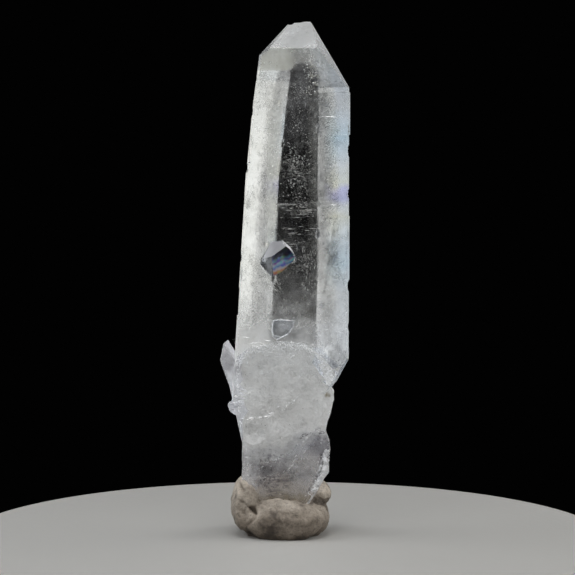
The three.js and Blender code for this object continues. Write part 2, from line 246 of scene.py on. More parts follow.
def growthReliefGroup():
    group, start, end = newGroup(
        "growthRelief",
        [("Vector", "Vector", None), ("Lines", "Float", 1.0), ("Hills", "Float", 1.0),
            ("Pitting", "Float", 1.0)],
        [("Height", "Float"), ("Patches", "Float"), ("Etch", "Float")],
    )
    vector = start.outputs["Vector"]
    squeezed = addNode(group, "Mapping", {"Scale": (60, 60, 2100)}, {"Vector": vector})
    lines = addNode(group, "TexNoise", {"Scale": 1, "Detail": 3, "Roughness": 0.6},
        {"Vector": squeezed.outputs[0]})
    swells = addNode(group, "TexNoise", {"Scale": 260, "Detail": 2, "Roughness": 0.45}, {"Vector": vector})
    hills = addNode(group, "TexVoronoi", {"Scale": 620, "Randomness": 1}, {"Vector": vector},
        feature="SMOOTH_F1")
    grain = addNode(group, "TexNoise", {"Scale": 3800, "Detail": 2, "Roughness": 0.7}, {"Vector": vector})
    cells = addNode(group, "TexVoronoi", {"Scale": 1250, "Randomness": 1}, {"Vector": vector})
    chance = addNode(group, "SeparateColor", links={"Color": cells.outputs["Color"]})
    reach = maths(group, "MULTIPLY_ADD", maths(group, "POWER", chance.outputs["Red"], 5.0), 0.2, 0.015)
    pit = addNode(group, "MapRange", {"To Min": -1, "To Max": 0},
        {"Value": cells.outputs["Distance"], "From Max": reach})
    patches = addNode(group, "TexNoise", {"Scale": 190, "Detail": 5, "Roughness": 0.62, "Distortion": 0.8},
        {"Vector": vector})
    etch = addNode(group, "TexNoise", {"Scale": 1300, "Detail": 4, "Roughness": 0.72, "Distortion": 0.5},
        {"Vector": vector})
    spots = maths(group, "MULTIPLY_ADD", patches.outputs["Fac"], 0.6, etch.outputs["Fac"])
    spots = addNode(group, "MapRange", {"From Min": 0.79, "From Max": 1.02}, {"Value": spots})
    whereLines = ramp(group, patches.outputs["Fac"], [(0.42, grey(0)), (0.62, grey(1))])
    a = maths(group, "MULTIPLY", lines.outputs["Fac"], start.outputs["Lines"])
    a = maths(group, "MULTIPLY", a, whereLines)
    b = maths(group, "MULTIPLY_ADD", hills.outputs["Distance"],
        maths(group, "MULTIPLY", start.outputs["Hills"], 0.6), a)
    c = maths(group, "MULTIPLY_ADD", swells.outputs["Fac"],
        maths(group, "MULTIPLY", start.outputs["Hills"], 2.2), b)
    d = maths(group, "MULTIPLY_ADD", grain.outputs["Fac"],
        maths(group, "MULTIPLY", start.outputs["Pitting"], 0.25), c)
    e = maths(group, "MULTIPLY_ADD", pit.outputs["Result"],
        maths(group, "MULTIPLY", start.outputs["Pitting"], 1.6), d)
    f = maths(group, "MULTIPLY_ADD", etch.outputs["Fac"],
        maths(group, "MULTIPLY", start.outputs["Pitting"], 0.9), e)
    group.links.new(f, end.inputs["Height"])
    group.links.new(patches.outputs["Fac"], end.inputs["Patches"])
    group.links.new(spots.outputs["Result"], end.inputs["Etch"])
    return group


def spotMaskGroup():
    group, start, end = newGroup(
        "spotMask",
        [("Vector", "Vector", None), ("Centre", "Vector", (0, 0, 0)), ("Radius", "Float", 0.001),
            ("Ragged", "Float", 0.5)],
        [("Mask", "Float")],
    )
    apart = addNode(group, "VectorMath", links={0: start.outputs["Vector"], 1: start.outputs["Centre"]},
        operation="DISTANCE")
    rough = addNode(group, "TexNoise", {"Scale": 1500, "Detail": 3}, {"Vector": start.outputs["Vector"]})
    share = maths(group, "DIVIDE", apart.outputs["Value"], start.outputs["Radius"])
    wobble = maths(group, "MULTIPLY", maths(group, "SUBTRACT", rough.outputs["Fac"], 0.5),
        start.outputs["Ragged"])
    edge = maths(group, "ADD", share, wobble)
    soft = addNode(group, "MapRange", {"From Min": 1.15, "From Max": 0.6, "To Min": 0, "To Max": 1},
        {"Value": edge})
    group.links.new(soft.outputs["Result"], end.inputs["Mask"])
    return group


growthRelief = growthReliefGroup()
spotMask = spotMaskGroup()


def useGroup(tree, group, values=None, links=None):
    node = tree.nodes.new("ShaderNodeGroup")
    node.node_tree = group
    for key, value in (values or {}).items():
        node.inputs[key].default_value = value
    for key, source in (links or {}).items():
        tree.links.new(source, node.inputs[key])
    return node


def newMaterial(name):
    material = bpy.data.materials.new(name)
    material.use_nodes = True
    tree = material.node_tree
    coords = tree.nodes.new("ShaderNodeTexCoord").outputs["Object"]
    return material, tree, tree.nodes["Principled BSDF"], coords


def letLightThrough(tree, shader, share):
    # light reaches what lies inside or behind the crystal, as it does through the real one
    path = tree.nodes.new("ShaderNodeLightPath")
    clear = tree.nodes.new("ShaderNodeBsdfTransparent")
    clear.inputs["Color"].default_value = (share, share, share, 1)
    mix = tree.nodes.new("ShaderNodeMixShader")
    tree.links.new(path.outputs["Is Shadow Ray"], mix.inputs[0])
    tree.links.new(shader.outputs[0], mix.inputs[1])
    tree.links.new(clear.outputs[0], mix.inputs[2])
    tree.links.new(mix.outputs[0], tree.nodes["Material Output"].inputs["Surface"])


# The quartz's finishes
quartzLook = {
    "ior": 1.544,
    "frostFrom": (57, 47.5),    # millimetres up where the prism starts to cloud over and is fully so
    "shadow": 0.92,             # share of the light that a surface lets through in shadows
    "absorbs": (0.93, 0.95, 0.97, 1), "density": 4.0,
    "clear": {"tint": (0.985, 0.99, 1), "shade": (0.8, 0.8, 0.78), "roughLow": 0.0, "roughHigh": 0.08,
              "lines": 0.34, "hills": 0.5, "pitting": 0.6, "relief": 0.000022, "etched": 0.3,
                  "mottle": 0.7},
    "tip": {"tint": (1, 1, 1), "shade": (0.95, 0.95, 0.935), "roughLow": 0.22, "roughHigh": 0.5,
            "lines": 1.4, "hills": 1.5, "pitting": 1.4, "relief": 0.00008, "transmission": 0.8},
    "frosted": {"tint": (0.97, 0.97, 0.965), "shade": (0.83, 0.83, 0.825), "roughLow": 0.36,
        "roughHigh": 0.62,
                "lines": 0.9, "hills": 1.8, "pitting": 2.5, "relief": 0.00011, "transmission": 0.36,
                    "mottle": 0.7},
    "cloudy": {"tint": (0.88, 0.87, 0.875), "shade": (0.68, 0.67, 0.675), "roughLow": 0.26,
        "roughHigh": 0.5,
               "lines": 0.8, "hills": 1.7, "pitting": 2.2, "relief": 0.00011, "transmission": 0.6,
                   "mottle": 0.7},
    "shell": {"tint": (0.92, 0.905, 0.92), "shade": (0.64, 0.625, 0.645), "roughLow": 0.08,
        "roughHigh": 0.4,
              "lines": 0.7, "hills": 1.8, "pitting": 2.2, "relief": 0.00013, "transmission": 0.86,
                  "mottle": 0.9},
    "undercut": {"tint": (0.8, 0.8, 0.82), "shade": (0.5, 0.5, 0.52), "roughLow": 0.02, "roughHigh": 0.2,
                 "lines": 1.6, "hills": 0.9, "pitting": 1.2, "relief": 0.00006},
    "blade": {"tint": (0.93, 0.93, 0.97), "shade": (0.8, 0.8, 0.84), "roughLow": 0.05, "roughHigh": 0.24,
              "lines": 1.0, "hills": 2.4, "pitting": 1.4, "relief": 0.00008, "transmission": 0.64,
                  "mottle": 0.6},
    "smallFace": {"tint": (0.96, 0.96, 0.985), "shade": (0.9, 0.9, 0.93), "roughLow": 0.0,
        "roughHigh": 0.04,
                  "lines": 0.3, "hills": 0.4, "pitting": 0.2, "relief": 0.00002},
    "rainbow": {"tint": (0.96, 0.96, 0.985), "shade": (0.9, 0.9, 0.93), "roughLow": 0.0, "roughHigh": 0.04,
                "lines": 0.3, "hills": 0.4, "pitting": 0.2, "relief": 0.00002, "transmission": 0.5},
    # painted shade: the small crystal's lower-left face, tinted dark where light turns back inside it
    "smallDark": {"tint": (0.3, 0.3, 0.33), "shade": (0.16, 0.16, 0.18), "roughLow": 0.0, "roughHigh": 0.06,
                  "lines": 0.8, "hills": 1.6, "pitting": 0.3, "relief": 0.00006},
    "smallGrey": {"tint": (0.86, 0.86, 0.9), "shade": (0.7, 0.7, 0.76), "roughLow": 0.02, "roughHigh": 0.1,
                  "lines": 0.3, "hills": 0.4, "pitting": 0.2, "relief": 0.00003, "transmission": 0.5},
    "smallRim": {"tint": (0.97, 0.97, 0.98), "shade": (0.9, 0.9, 0.93), "roughLow": 0.08, "roughHigh": 0.24,
                 "lines": 0.3, "hills": 0.4, "pitting": 0.2, "relief": 0.00003, "transmission": 0.1},
    "icy": {"tint": (0.9, 0.9, 0.91), "shade": (0.72, 0.72, 0.74), "roughLow": 0.2, "roughHigh": 0.5,
            "lines": 0.3, "hills": 2.2, "pitting": 1.6, "relief": 0.00016, "transmission": 0.45},
}


def quartzMaterial(name, tint, shade, roughLow, roughHigh, lines, hills, pitting, relief, transmission=1.0,
    colourWork=None,
                   frostFrom=None, etched=0.0, mottle=0.0):
    material, tree, shader, coords = newMaterial(name)
    growth = useGroup(tree, growthRelief, {"Lines": lines, "Hills": hills, "Pitting": pitting},
        {"Vector": coords})
    patches = growth.outputs["Patches"]
    rough = addNode(tree, "MapRange", {"From Min": 0.4, "From Max": 0.68, "To Min": roughLow,
        "To Max": roughHigh}, {"Value": patches})
    roughness = rough.outputs["Result"]
    if frostFrom:                                # the prism clouds over towards the foot
        parts = addNode(tree, "SeparateXYZ", links={"Vector": coords})
        high = maths(tree, "MULTIPLY_ADD", maths(tree, "SUBTRACT", patches, 0.5), 0.03, parts.outputs["Z"])
        high = maths(tree, "MULTIPLY_ADD", maths(tree, "MAXIMUM", parts.outputs["X"], 0.004), 3.0, high)
        frost = addNode(tree, "MapRange", {"From Min": frostFrom[0] * mm, "From Max": frostFrom[1] * mm,
            "To Min": 0, "To Max": 0.42},
                        {"Value": high})
        roughness = maths(tree, "ADD", roughness, frost.outputs["Result"])
    if etched:                                   # fine spots where the skin is etched dull
        roughness = maths(tree, "MULTIPLY_ADD", growth.outputs["Etch"], etched, roughness)
    tree.links.new(roughness, shader.inputs["Roughness"])
    colour = ramp(tree, patches, [(0.38, tint), (0.66, shade)])
    if mottle:
        dull = ramp(tree, growth.outputs["Etch"], [(0.0, grey(1)), (0.35, grey(0.94)), (0.8, grey(0.7))])
        colour = mixColours(tree, mottle, colour, mixColours(tree, 1.0, colour, dull, "MULTIPLY"))
    if colourWork:
        colour = colourWork(tree, coords, colour)
    tree.links.new(colour, shader.inputs["Base Color"])
    bump = addNode(tree, "Bump", {"Strength": 1.0, "Distance": relief},
        {"Height": growth.outputs["Height"]})
    tree.links.new(bump.outputs["Normal"], shader.inputs["Normal"])
    shader.inputs["IOR"].default_value = quartzLook["ior"]
    shader.inputs["Transmission Weight"].default_value = transmission
    letLightThrough(tree, shader, quartzLook["shadow"])
    absorb = addNode(tree, "VolumeAbsorption", {"Color": quartzLook["absorbs"],
        "Density": quartzLook["density"]})
    tree.links.new(absorb.outputs[0], tree.nodes["Material Output"].inputs["Volume"])
    return material


def rainbowBandsAndRightShade(tree, coords, colour):
    # thin cracks near the right edge split the light into pale bands, and painted shade makes the right side of
    # the face darker and bluer
    parts = addNode(tree, "SeparateXYZ", links={"Vector": coords})
    wave = addNode(tree, "TexNoise", {"Scale": 300, "Detail": 3}, {"Vector": coords})
    high = maths(tree, "MULTIPLY_ADD", maths(tree, "SUBTRACT", wave.outputs["Fac"], 0.5), 0.004,
        parts.outputs["Z"])
    share = addNode(tree, "MapRange", {"From Min": 0.045, "From Max": 0.085}, {"Value": high})
    film = ramp(tree, share.outputs["Result"], [
        (0.0, (1, 1, 1)), (0.12, (0.68, 0.88, 1)), (0.24, (0.85, 0.94, 1)), (0.33, (1, 0.96, 0.74)),
            (0.38, (1, 1, 1)),
        (0.425, (0.54, 0.54, 1)), (0.46, (0.62, 0.58, 1)), (0.49, (1, 0.97, 0.76)), (0.56, (1, 1, 1)),
        (0.68, (0.6, 0.84, 1)), (0.75, (0.8, 0.92, 1)), (0.83, (1, 1, 1)), (1, (0.9, 0.94, 1)),
    ])
    across = addNode(tree, "MapRange", {"From Min": 0.0068, "From Max": 0.0088},
        {"Value": parts.outputs["X"]})
    # painted shade: darker and bluer towards the right side of the prism
    paintedShadeAcross = addNode(tree, "MapRange", {"From Min": 0.0046, "From Max": 0.0106},
        {"Value": parts.outputs["X"]})
    paintedRightShade = ramp(tree, paintedShadeAcross.outputs["Result"], [(0, (1, 1, 1)), (0.2, (0.9, 0.92, 0.95)), (0.72, (0.9,
        0.95, 1))])
    colour = mixColours(tree, 1.0, colour, paintedRightShade, "MULTIPLY")
    near = addNode(tree, "MapRange", {"From Min": -0.0004, "From Max": -0.0016},
        {"Value": parts.outputs["Y"]})
    where = maths(tree, "MULTIPLY", across.outputs["Result"], near.outputs["Result"])
    return mixColours(tree, where, colour, mixColours(tree, 1.0, colour, film, "MULTIPLY"))


def footStainsAndDarkening(tree, coords, colour):
    # a brown spot at the right of the foot, a dark streaky patch low at the left, a lilac spot, a thin film of
    # putty where the crystal stands in it, and the foot darker in its lower part
    brown = useGroup(tree, spotMask, {"Centre": spot(6.7, 1.2, 26.1), "Radius": 0.0007, "Ragged": 1.3},
        {"Vector": coords})
    colour = mixColours(tree, brown.outputs["Mask"], colour, (0.22, 0.17, 0.08, 1))
    dark = useGroup(tree, spotMask, {"Centre": spot(-3.2, 0.6, 11.4), "Radius": 0.0036, "Ragged": 2.4},
        {"Vector": coords})
    tilted = addNode(tree, "Mapping", {"Scale": (260, 260, 1500), "Rotation": (0, math.radians(-24), 0)},
        {"Vector": coords})
    streaks = addNode(tree, "TexNoise", {"Scale": 1, "Detail": 4, "Roughness": 0.68, "Distortion": 0.9},
        {"Vector": tilted.outputs[0]})
    streaks = ramp(tree, streaks.outputs["Fac"], [(0.4, grey(0.14)), (0.54, grey(1))])
    colour = mixColours(tree, maths(tree, "MULTIPLY", dark.outputs["Mask"], streaks), colour,
        (0.19, 0.178, 0.195, 1))
    lilac = useGroup(tree, spotMask, {"Centre": spot(5.7, 1, 16.4), "Radius": 0.0028, "Ragged": 1.6},
        {"Vector": coords})
    colour = mixColours(tree, maths(tree, "MULTIPLY", lilac.outputs["Mask"], 0.72), colour,
        (0.32, 0.29, 0.33, 1))
    parts = addNode(tree, "SeparateXYZ", links={"Vector": coords})
    wave = addNode(tree, "TexNoise", {"Scale": 700, "Detail": 4}, {"Vector": coords})
    high = maths(tree, "MULTIPLY_ADD", maths(tree, "SUBTRACT", wave.outputs["Fac"], 0.5), 0.006,
        parts.outputs["Z"])
    film = addNode(tree, "MapRange", {"From Min": 0.0085, "From Max": 0.0065}, {"Value": high})
    # darker in the lower part of the foot, back to full towards the top
    low = addNode(tree, "MapRange", {"From Min": 0.014, "From Max": 0.034}, {"Value": high})
    shades = [(0, grey(0.98)), (0.14, grey(0.84)), (0.35, grey(0.86)), (0.6, grey(0.94)), (1, grey(1))]
    colour = mixColours(tree, 1.0, colour, ramp(tree, low.outputs["Result"], shades), "MULTIPLY")
    return mixColours(tree, film.outputs["Result"], colour, (0.5, 0.44, 0.33, 1))


def rainbowFacet(tree, coords, colour):
    # split light in one face: dark above, then short coloured flashes across the middle of the face
    cells = addNode(tree, "TexVoronoi", {"Scale": 1500, "Randomness": 0.9}, {"Vector": coords})
    wave = addNode(tree, "TexNoise", {"Scale": 900, "Detail": 2}, {"Vector": coords})
    parts = addNode(tree, "SeparateXYZ", links={"Vector": coords})
    slant = maths(tree, "ADD", parts.outputs["Z"], maths(tree, "MULTIPLY", parts.outputs["X"], -0.35))
    slant = maths(tree, "MULTIPLY_ADD", maths(tree, "SUBTRACT", wave.outputs["Fac"], 0.5), 0.0011, slant)
    share = addNode(tree, "MapRange", {"From Min": 0.0478, "From Max": 0.0519}, {"Value": slant})
    flash = ramp(tree, share.outputs["Result"], [
        (0.0, (0.75, 0.78, 0.86)), (0.16, (0.2, 0.24, 0.34)), (0.3, (0.85, 0.45, 0.16)),
        (0.4, (0.9, 0.88, 0.9)), (0.5, (0.16, 0.3, 0.85)), (0.6, (0.5, 0.75, 0.95)),
        (0.7, (0.3, 0.16, 0.5)), (0.8, (0.16, 0.36, 0.42)), (0.92, (0.05, 0.05, 0.07)),
    ])
    return mixColours(tree, 0.5, flash, mixColours(tree, 1.0, flash, cells.outputs["Color"], "OVERLAY"))


quartzNames = {
    "clear": "clearQuartz", "tip": "etchedPoint", "frosted": "frostedBreak", "cloudy": "cloudyBreak",
    "shell": "shellBreak", "undercut": "undercutBreak", "blade": "bladeQuartz",
    "smallFace": "smallClearFace", "smallDark": "smallPaintedShadeFace", "smallGrey": "smallGreyFace",
    "smallRim": "smallBrightRim", "icy": "icySplinter", "rainbow": "rainbowFace",
}
quartzExtras = {
    "clear": {"colourWork": rainbowBandsAndRightShade, "frostFrom": quartzLook["frostFrom"]},
    "frosted": {"colourWork": footStainsAndDarkening}, "cloudy": {"colourWork": footStainsAndDarkening},
    "shell": {"colourWork": footStainsAndDarkening}, "rainbow": {"colourWork": rainbowFacet},
}
quartzSlots = {
    key: quartzMaterial(name, **quartzLook[key], **quartzExtras.get(key, {}))
    for key, name in quartzNames.items()
}
print("quartz finishes ready")


# The crystal itself
crystal = {
    "azimuths": (0, 60, 120, 180, -120, -60),
    "turn": -3,
    "footTop": 36.2,            # millimetres; below it whatever isn't a prism face is broken
    "fineEdge": 0.75,           # longest edge on the broken foot
    "cuts": 5,
    "ripple": 0.14,
}


def turnedNormal(azimuth, rise=0.0):
    a, r = math.radians(azimuth + crystal["turn"]), math.radians(rise)
    return Vector((math.cos(r) * math.sin(a), -math.cos(r) * math.cos(a), math.sin(r)))


prismNormals = [turnedNormal(a) for a in crystal["azimuths"]] + [
    turnedNormal(a, rise) for a in (-60, -120) for rise in (3.07, 4.95, 6.52)
]


def splinterLine(z):
    # how far to the right the row of splinters begins at a height
    return 3.3 + 0.36 * (z - 7.5)


def breakLine(x):
    # height in millimetres where the frosted break gives way to the clearer one, rising to the right
    return 15.4 + 4.3 / (1 + math.exp(-(x - 0.6) / 1.6))


def footKind(x, y, z):
    ragged = z + 1.1 * noise.fractal(Vector((x, y, z)) * 0.5, 0.8, 2.2, 3)
    if ragged > breakLine(x) + 0.5:
        return "frosted"
    return "cloudy" if ragged > breakLine(x) - 1.6 else "shell"


def faceKind(centre, normal):
    x, y, z = centre.x / mm - shiftX, centre.y / mm - shiftY, centre.z / mm
    proud = frontSide(x) - y
    if 46.5 < z < 55 and proud > 0.02 and -6.5 < x < 1.8:
        if normal.y > -0.72:
            return "smallRim" if normal.x > 0.2 else "smallFace"
        if normal.z > 0.3:
            return "smallGrey"
        # the lower-left face of the small crystal gets the painted shade finish
        return "rainbow" if normal.x > 0.15 else "smallDark"
    if 35.5 < z < 40.4 and proud > 0.015 and -4 < x < 1.6:
        return "smallFace"
    if z > 80.5 and normal.z > 0.25:
        return "tip"
    if any(normal.dot(n) > 0.9999 for n in prismNormals):
        return "clear"
    if 7 < z < 16.8 and x > splinterLine(z) and y < 3.6:
        return "icy"
    if x > 4.6 and 25 < z < crystal["footTop"] and normal.z < -0.2:
        return "undercut"
    if x < -8.7 and 22 < z < 36.2:
        return "blade"
    if z > crystal["footTop"]:
        return "clear"
    return footKind(x, y, z)


def copyOfNode(node, name):
    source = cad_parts[node]
    piece = bpy.data.objects.new(name, source.data.copy())
    bpy.context.scene.collection.objects.link(piece)
    piece.data.materials.clear()
    pick(piece)
    bpy.ops.mesh.customdata_custom_splitnormals_clear()
    bpy.ops.object.mode_set(mode="EDIT")
    bpy.ops.mesh.select_all(action="SELECT")
    bpy.ops.mesh.remove_doubles(threshold=2e-6)
    bpy.ops.object.mode_set(mode="OBJECT")
    return piece


def makeCrystal():
    piece = copyOfNode("quartz_crystal", "quartzPoint")
    bpy.ops.object.mode_set(mode="EDIT")
    bpy.ops.mesh.select_all(action="SELECT")
    bpy.ops.mesh.dissolve_limited(angle_limit=math.radians(0.4))
    bpy.ops.object.mode_set(mode="OBJECT")
    kinds = list(quartzSlots)
    for kind in kinds:
        piece.data.materials.append(quartzSlots[kind])
    for face in piece.data.polygons:
        face.material_index = kinds.index(faceKind(face.center, face.normal))
    foot = {kinds.index(kind) for kind in ("frosted", "cloudy", "shell")}
    broken = foot | {kinds.index("icy")}
    for _ in range(crystal["cuts"]):             # finer faces on the broken foot
        mesh = bmesh.new()
        mesh.from_mesh(piece.data)
        bmesh.ops.triangulate(mesh, faces=[f for f in mesh.faces if f.material_index in broken])
        rough = [f for f in mesh.faces if f.material_index in broken]
        longEdges = {e for f in rough for e in f.edges if e.calc_length() > crystal["fineEdge"] * mm}
        bmesh.ops.subdivide_edges(mesh, edges=list(longEdges), cuts=1, use_grid_fill=False)
        mesh.to_mesh(piece.data)
        mesh.free()
    mesh = bmesh.new()
    mesh.from_mesh(piece.data)
    bmesh.ops.triangulate(mesh, faces=[f for f in mesh.faces if f.material_index in broken])
    mesh.verts.ensure_lookup_table()
    inner = [v for v in mesh.verts if v.link_faces and all(f.material_index in broken for f in v.link_faces)]
    for v in inner:
        p = v.co * 1000
        rear = max(0.0, min(1.0, 0.5 + v.normal.y))
        big = noise.noise(p * 0.4 + Vector((3, 1, 8))) * (0.9 + 1.8 * rear)
        ridges = noise.ridged_multi_fractal(p * 0.32 + Vector((9, 4, 2)), 1.0, 2.1, 3, 1.0, 2.0) - 1.1
        small = noise.fractal(p * 1.7, 0.9, 2.1, 3)
        v.co += v.normal * (crystal["ripple"] * mm * (big + ridges * (0.35 + 0.9 * rear) + 0.45 * small))
    for f in mesh.faces:
        if f.material_index in foot:
            x, y, z = f.calc_center_median() / mm
            f.material_index = kinds.index(footKind(x - shiftX, y - shiftY, z))
    mesh.to_mesh(piece.data)
    mesh.free()
    pick(piece)
    bpy.ops.object.shade_smooth_by_angle(angle=math.radians(24))
    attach(piece, "root")
    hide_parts("quartz_crystal")
    print("crystal faces:", len(piece.data.polygons))
    return piece


quartzPoint = makeCrystal()


# Flecks and veils inside the crystal
def simpleWhite(name, colour, rough):
    material, tree, shader, coords = newMaterial(name)
    spread = addNode(tree, "TexNoise", {"Scale": 800, "Detail": 2}, {"Vector": coords})
    shade = ramp(tree, spread.outputs["Fac"], [(0.3, tuple(c * 0.8 for c in colour)), (0.7, colour)])
    tree.links.new(shade, shader.inputs["Base Color"])
    shader.inputs["Roughness"].default_value = rough
    return material


fleckWhite = simpleWhite("fleckWhite", (0.9, 0.9, 0.88), 0.5)


def howDeep(place):
    # millimetres below the crystal's surface, or less than nothing outside it
    near, normal = quartzPoint.closest_point_on_mesh(place)[1:3]
    return (near - place).dot(normal) / mm


veils = {
    "mesh": 0.45,               # millimetres between points
    "wave": 0.5,
    # middle x, y, z, width, height, azimuth, lean, finish
    "sheets": [
        (0.5, 0.6, 62, 17, 56, -3, 0, "haze"), (0.5, 5.2, 60, 19, 60, 4, 0, "haze"),
            (0.4, 9.4, 62, 16, 56, -3, 0, "haze"),
        (-1.8, 0.3, 39.5, 16, 17, -3, 0, "milk"), (-1.6, 1.4, 33, 17, 32, -3, 4, "milk"),
            (-0.8, 4.4, 31, 18, 34, 6, -6, "milk"), (-0.4, 7.4, 30, 18, 30, -8, 5, "milk"),
        (0.9, 1.3, 80, 12, 20, -3, 0, "topHaze"), (1.4, 6.5, 79, 12, 20, -3, 0, "topHaze"),
        (-2.6, 5, 28, 12, 28, 78, 8, "milk"), (2.8, 5, 29, 12, 28, 98, -7, "milk"),
        (-0.6, 5.6, 14, 13, 18, 24, 8, "thinMilk"),
    ],
    "finish": {
        "haze": {"colour": (0.9, 0.91, 0.93), "most": 0.54, "cloud": 230, "dots": 1900, "even": 0.12,
            "zClear": 50, "zFull": 28, "least": 0.36},
        "topHaze": {"colour": (0.9, 0.9, 0.92), "most": 0.34, "cloud": 420, "dots": 2300, "even": 0.5,
            "zClear": 69, "zFull": 80},
        "milk": {"colour": (0.93, 0.93, 0.94), "most": 0.56, "cloud": 330, "dots": 1500, "even": 0.6,
            "zClear": 47.5, "zFull": 36.5},
        "thinMilk": {"colour": (0.9, 0.9, 0.92), "most": 0.3, "cloud": 420, "dots": 1500, "even": 0.4,
            "zClear": 30, "zFull": 22},
    },
}


def veilMaterial(name, colour, most, cloud, dots, even, zClear, zFull, least=0.0):
    # a healed crack: bright dots of many sizes on a thin cloud
    material, tree, shader, coords = newMaterial(name)
    clouds = addNode(tree, "TexNoise", {"Scale": cloud, "Detail": 6, "Roughness": 0.65, "Distortion": 0.6},
        {"Vector": coords})
    cells = addNode(tree, "TexVoronoi", {"Scale": dots, "Randomness": 1}, {"Vector": coords})
    chance = addNode(tree, "SeparateColor", links={"Color": cells.outputs["Color"]})
    reach = maths(tree, "MULTIPLY_ADD", maths(tree, "POWER", chance.outputs["Red"], 5.0), 0.4, 0.012)
    dot = addNode(tree, "MapRange", {"To Min": 1, "To Max": 0},
        {"Value": cells.outputs["Distance"], "From Max": reach})
    thick = ramp(tree, clouds.outputs["Fac"], [(0.38, grey(0.05)), (0.55, grey(0.4)), (0.72, grey(1))])
    dots = maths(tree, "MULTIPLY_ADD", dot.outputs["Result"], 1.0 - even, even)
    parts = addNode(tree, "SeparateXYZ", links={"Vector": coords})
    fade = addNode(tree, "MapRange", {"From Min": zClear * mm, "From Max": zFull * mm, "To Min": least,
                                      "To Max": 1.0}, {"Value": parts.outputs["Z"]})
    deep = addNode(tree, "Attribute", attribute_name="deep")
    alpha = maths(tree, "MULTIPLY", dots, thick)
    alpha = maths(tree, "MULTIPLY", alpha, fade.outputs["Result"])
    alpha = maths(tree, "MULTIPLY", alpha, deep.outputs["Fac"])
    alpha = maths(tree, "MULTIPLY", alpha, most)
    tree.links.new(alpha, shader.inputs["Alpha"])
    tree.links.new(ramp(tree, clouds.outputs["Fac"], [(0.3, tuple(c * 0.9 for c in colour)), (0.7,
        colour)]), shader.inputs["Base Color"])
    shader.inputs["Roughness"].default_value = 0.6
    return material


def makeVeils():
    finishes = {key: veilMaterial(key + "Veil", **value) for key, value in veils["finish"].items()}
    for number, (x, y, z, wide, tall, azimuth, lean, finish) in enumerate(veils["sheets"]):
        pickNothing()
        cuts = (int(wide / veils["mesh"]), int(tall / veils["mesh"]))
        bpy.ops.mesh.primitive_grid_add(x_subdivisions=cuts[0], y_subdivisions=cuts[1], size=1)
        sheet = bpy.context.object
        sheet.name = f"{finish}Veil{number}"
        place = Matrix.Translation(spot(x, y, z)) @ Matrix.Rotation(math.radians(azimuth), 4, "Z")
        place = place @ Matrix.Rotation(math.radians(90 + lean), 4,
            "X") @ Matrix.Diagonal((wide * mm, tall * mm, 1, 1))
        sheet.data.transform(place)
        sheet.data.update()
        mesh = bmesh.new()
        mesh.from_mesh(sheet.data)
        outside = []
        layer = mesh.verts.layers.float.new("deep")
        normal = (place.to_3x3() @ Vector((0, 0, 1))).normalized()
        for v in mesh.verts:
            v.co += normal * (veils["wave"] * mm * noise.noise(v.co * 260 + Vector((number * 7, 0, 0))))
            depth = howDeep(v.co)
            v[layer] = max(0.0, min(1.0, (depth - 0.3) / 1.1))
            if depth < 0.3:
                outside.append(v)
        bmesh.ops.delete(mesh, geom=outside, context="VERTS")
        mesh.to_mesh(sheet.data)
        mesh.free()
        sheet.data.materials.append(finishes[finish])
        for face in sheet.data.polygons:
            face.use_smooth = True
        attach(sheet, "root")
    print("veils:", len(veils["sheets"]))


makeVeils()


# The painted reflection of the foot under the point with grey bubbles beside it, patches of painted shade and
# the haze at the left, all just inside the front face
capLook = {
    "across": (252, 348),       # the photograph's pixels
    "down": (47, 374),
    "depth": 0.5,               # millimetres behind the front face
    "mesh": 0.16,
    "middle": (303.5, 84), "reach": (18, 20.5),
    # the painted reflection sheet: a greenish grey standing in for the foot's light seen in the rear faces
    "paintedReflectionAndBubbles": {"colour": (0.66, 0.66, 0.6), "most": 0.85},
    # the painted shade sheet: a dark sheet over places where the dark behind the crystal shows
    "paintedShade": {"colour": (0.035, 0.035, 0.038), "most": 0.88},
    "leftHaze": {"colour": (0.95, 0.955, 0.9), "most": 0.62},
    "windowEdge": [(60, 288), (72, 287), (193, 279.3), (303, 272.3), (340, 271)],
}


def step(value, low, high):
    t = max(0.0, min(1.0, (value - low) / (high - low)))
    return t * t * (3 - 2 * t)


def edgeAt(down):
    line = capLook["windowEdge"]
    for (top, a), (bottom, b) in zip(line, line[1:]):
        if down <= bottom:
            return a + (b - a) * max(0.0, (down - top) / (bottom - top))
    return line[-1][1]


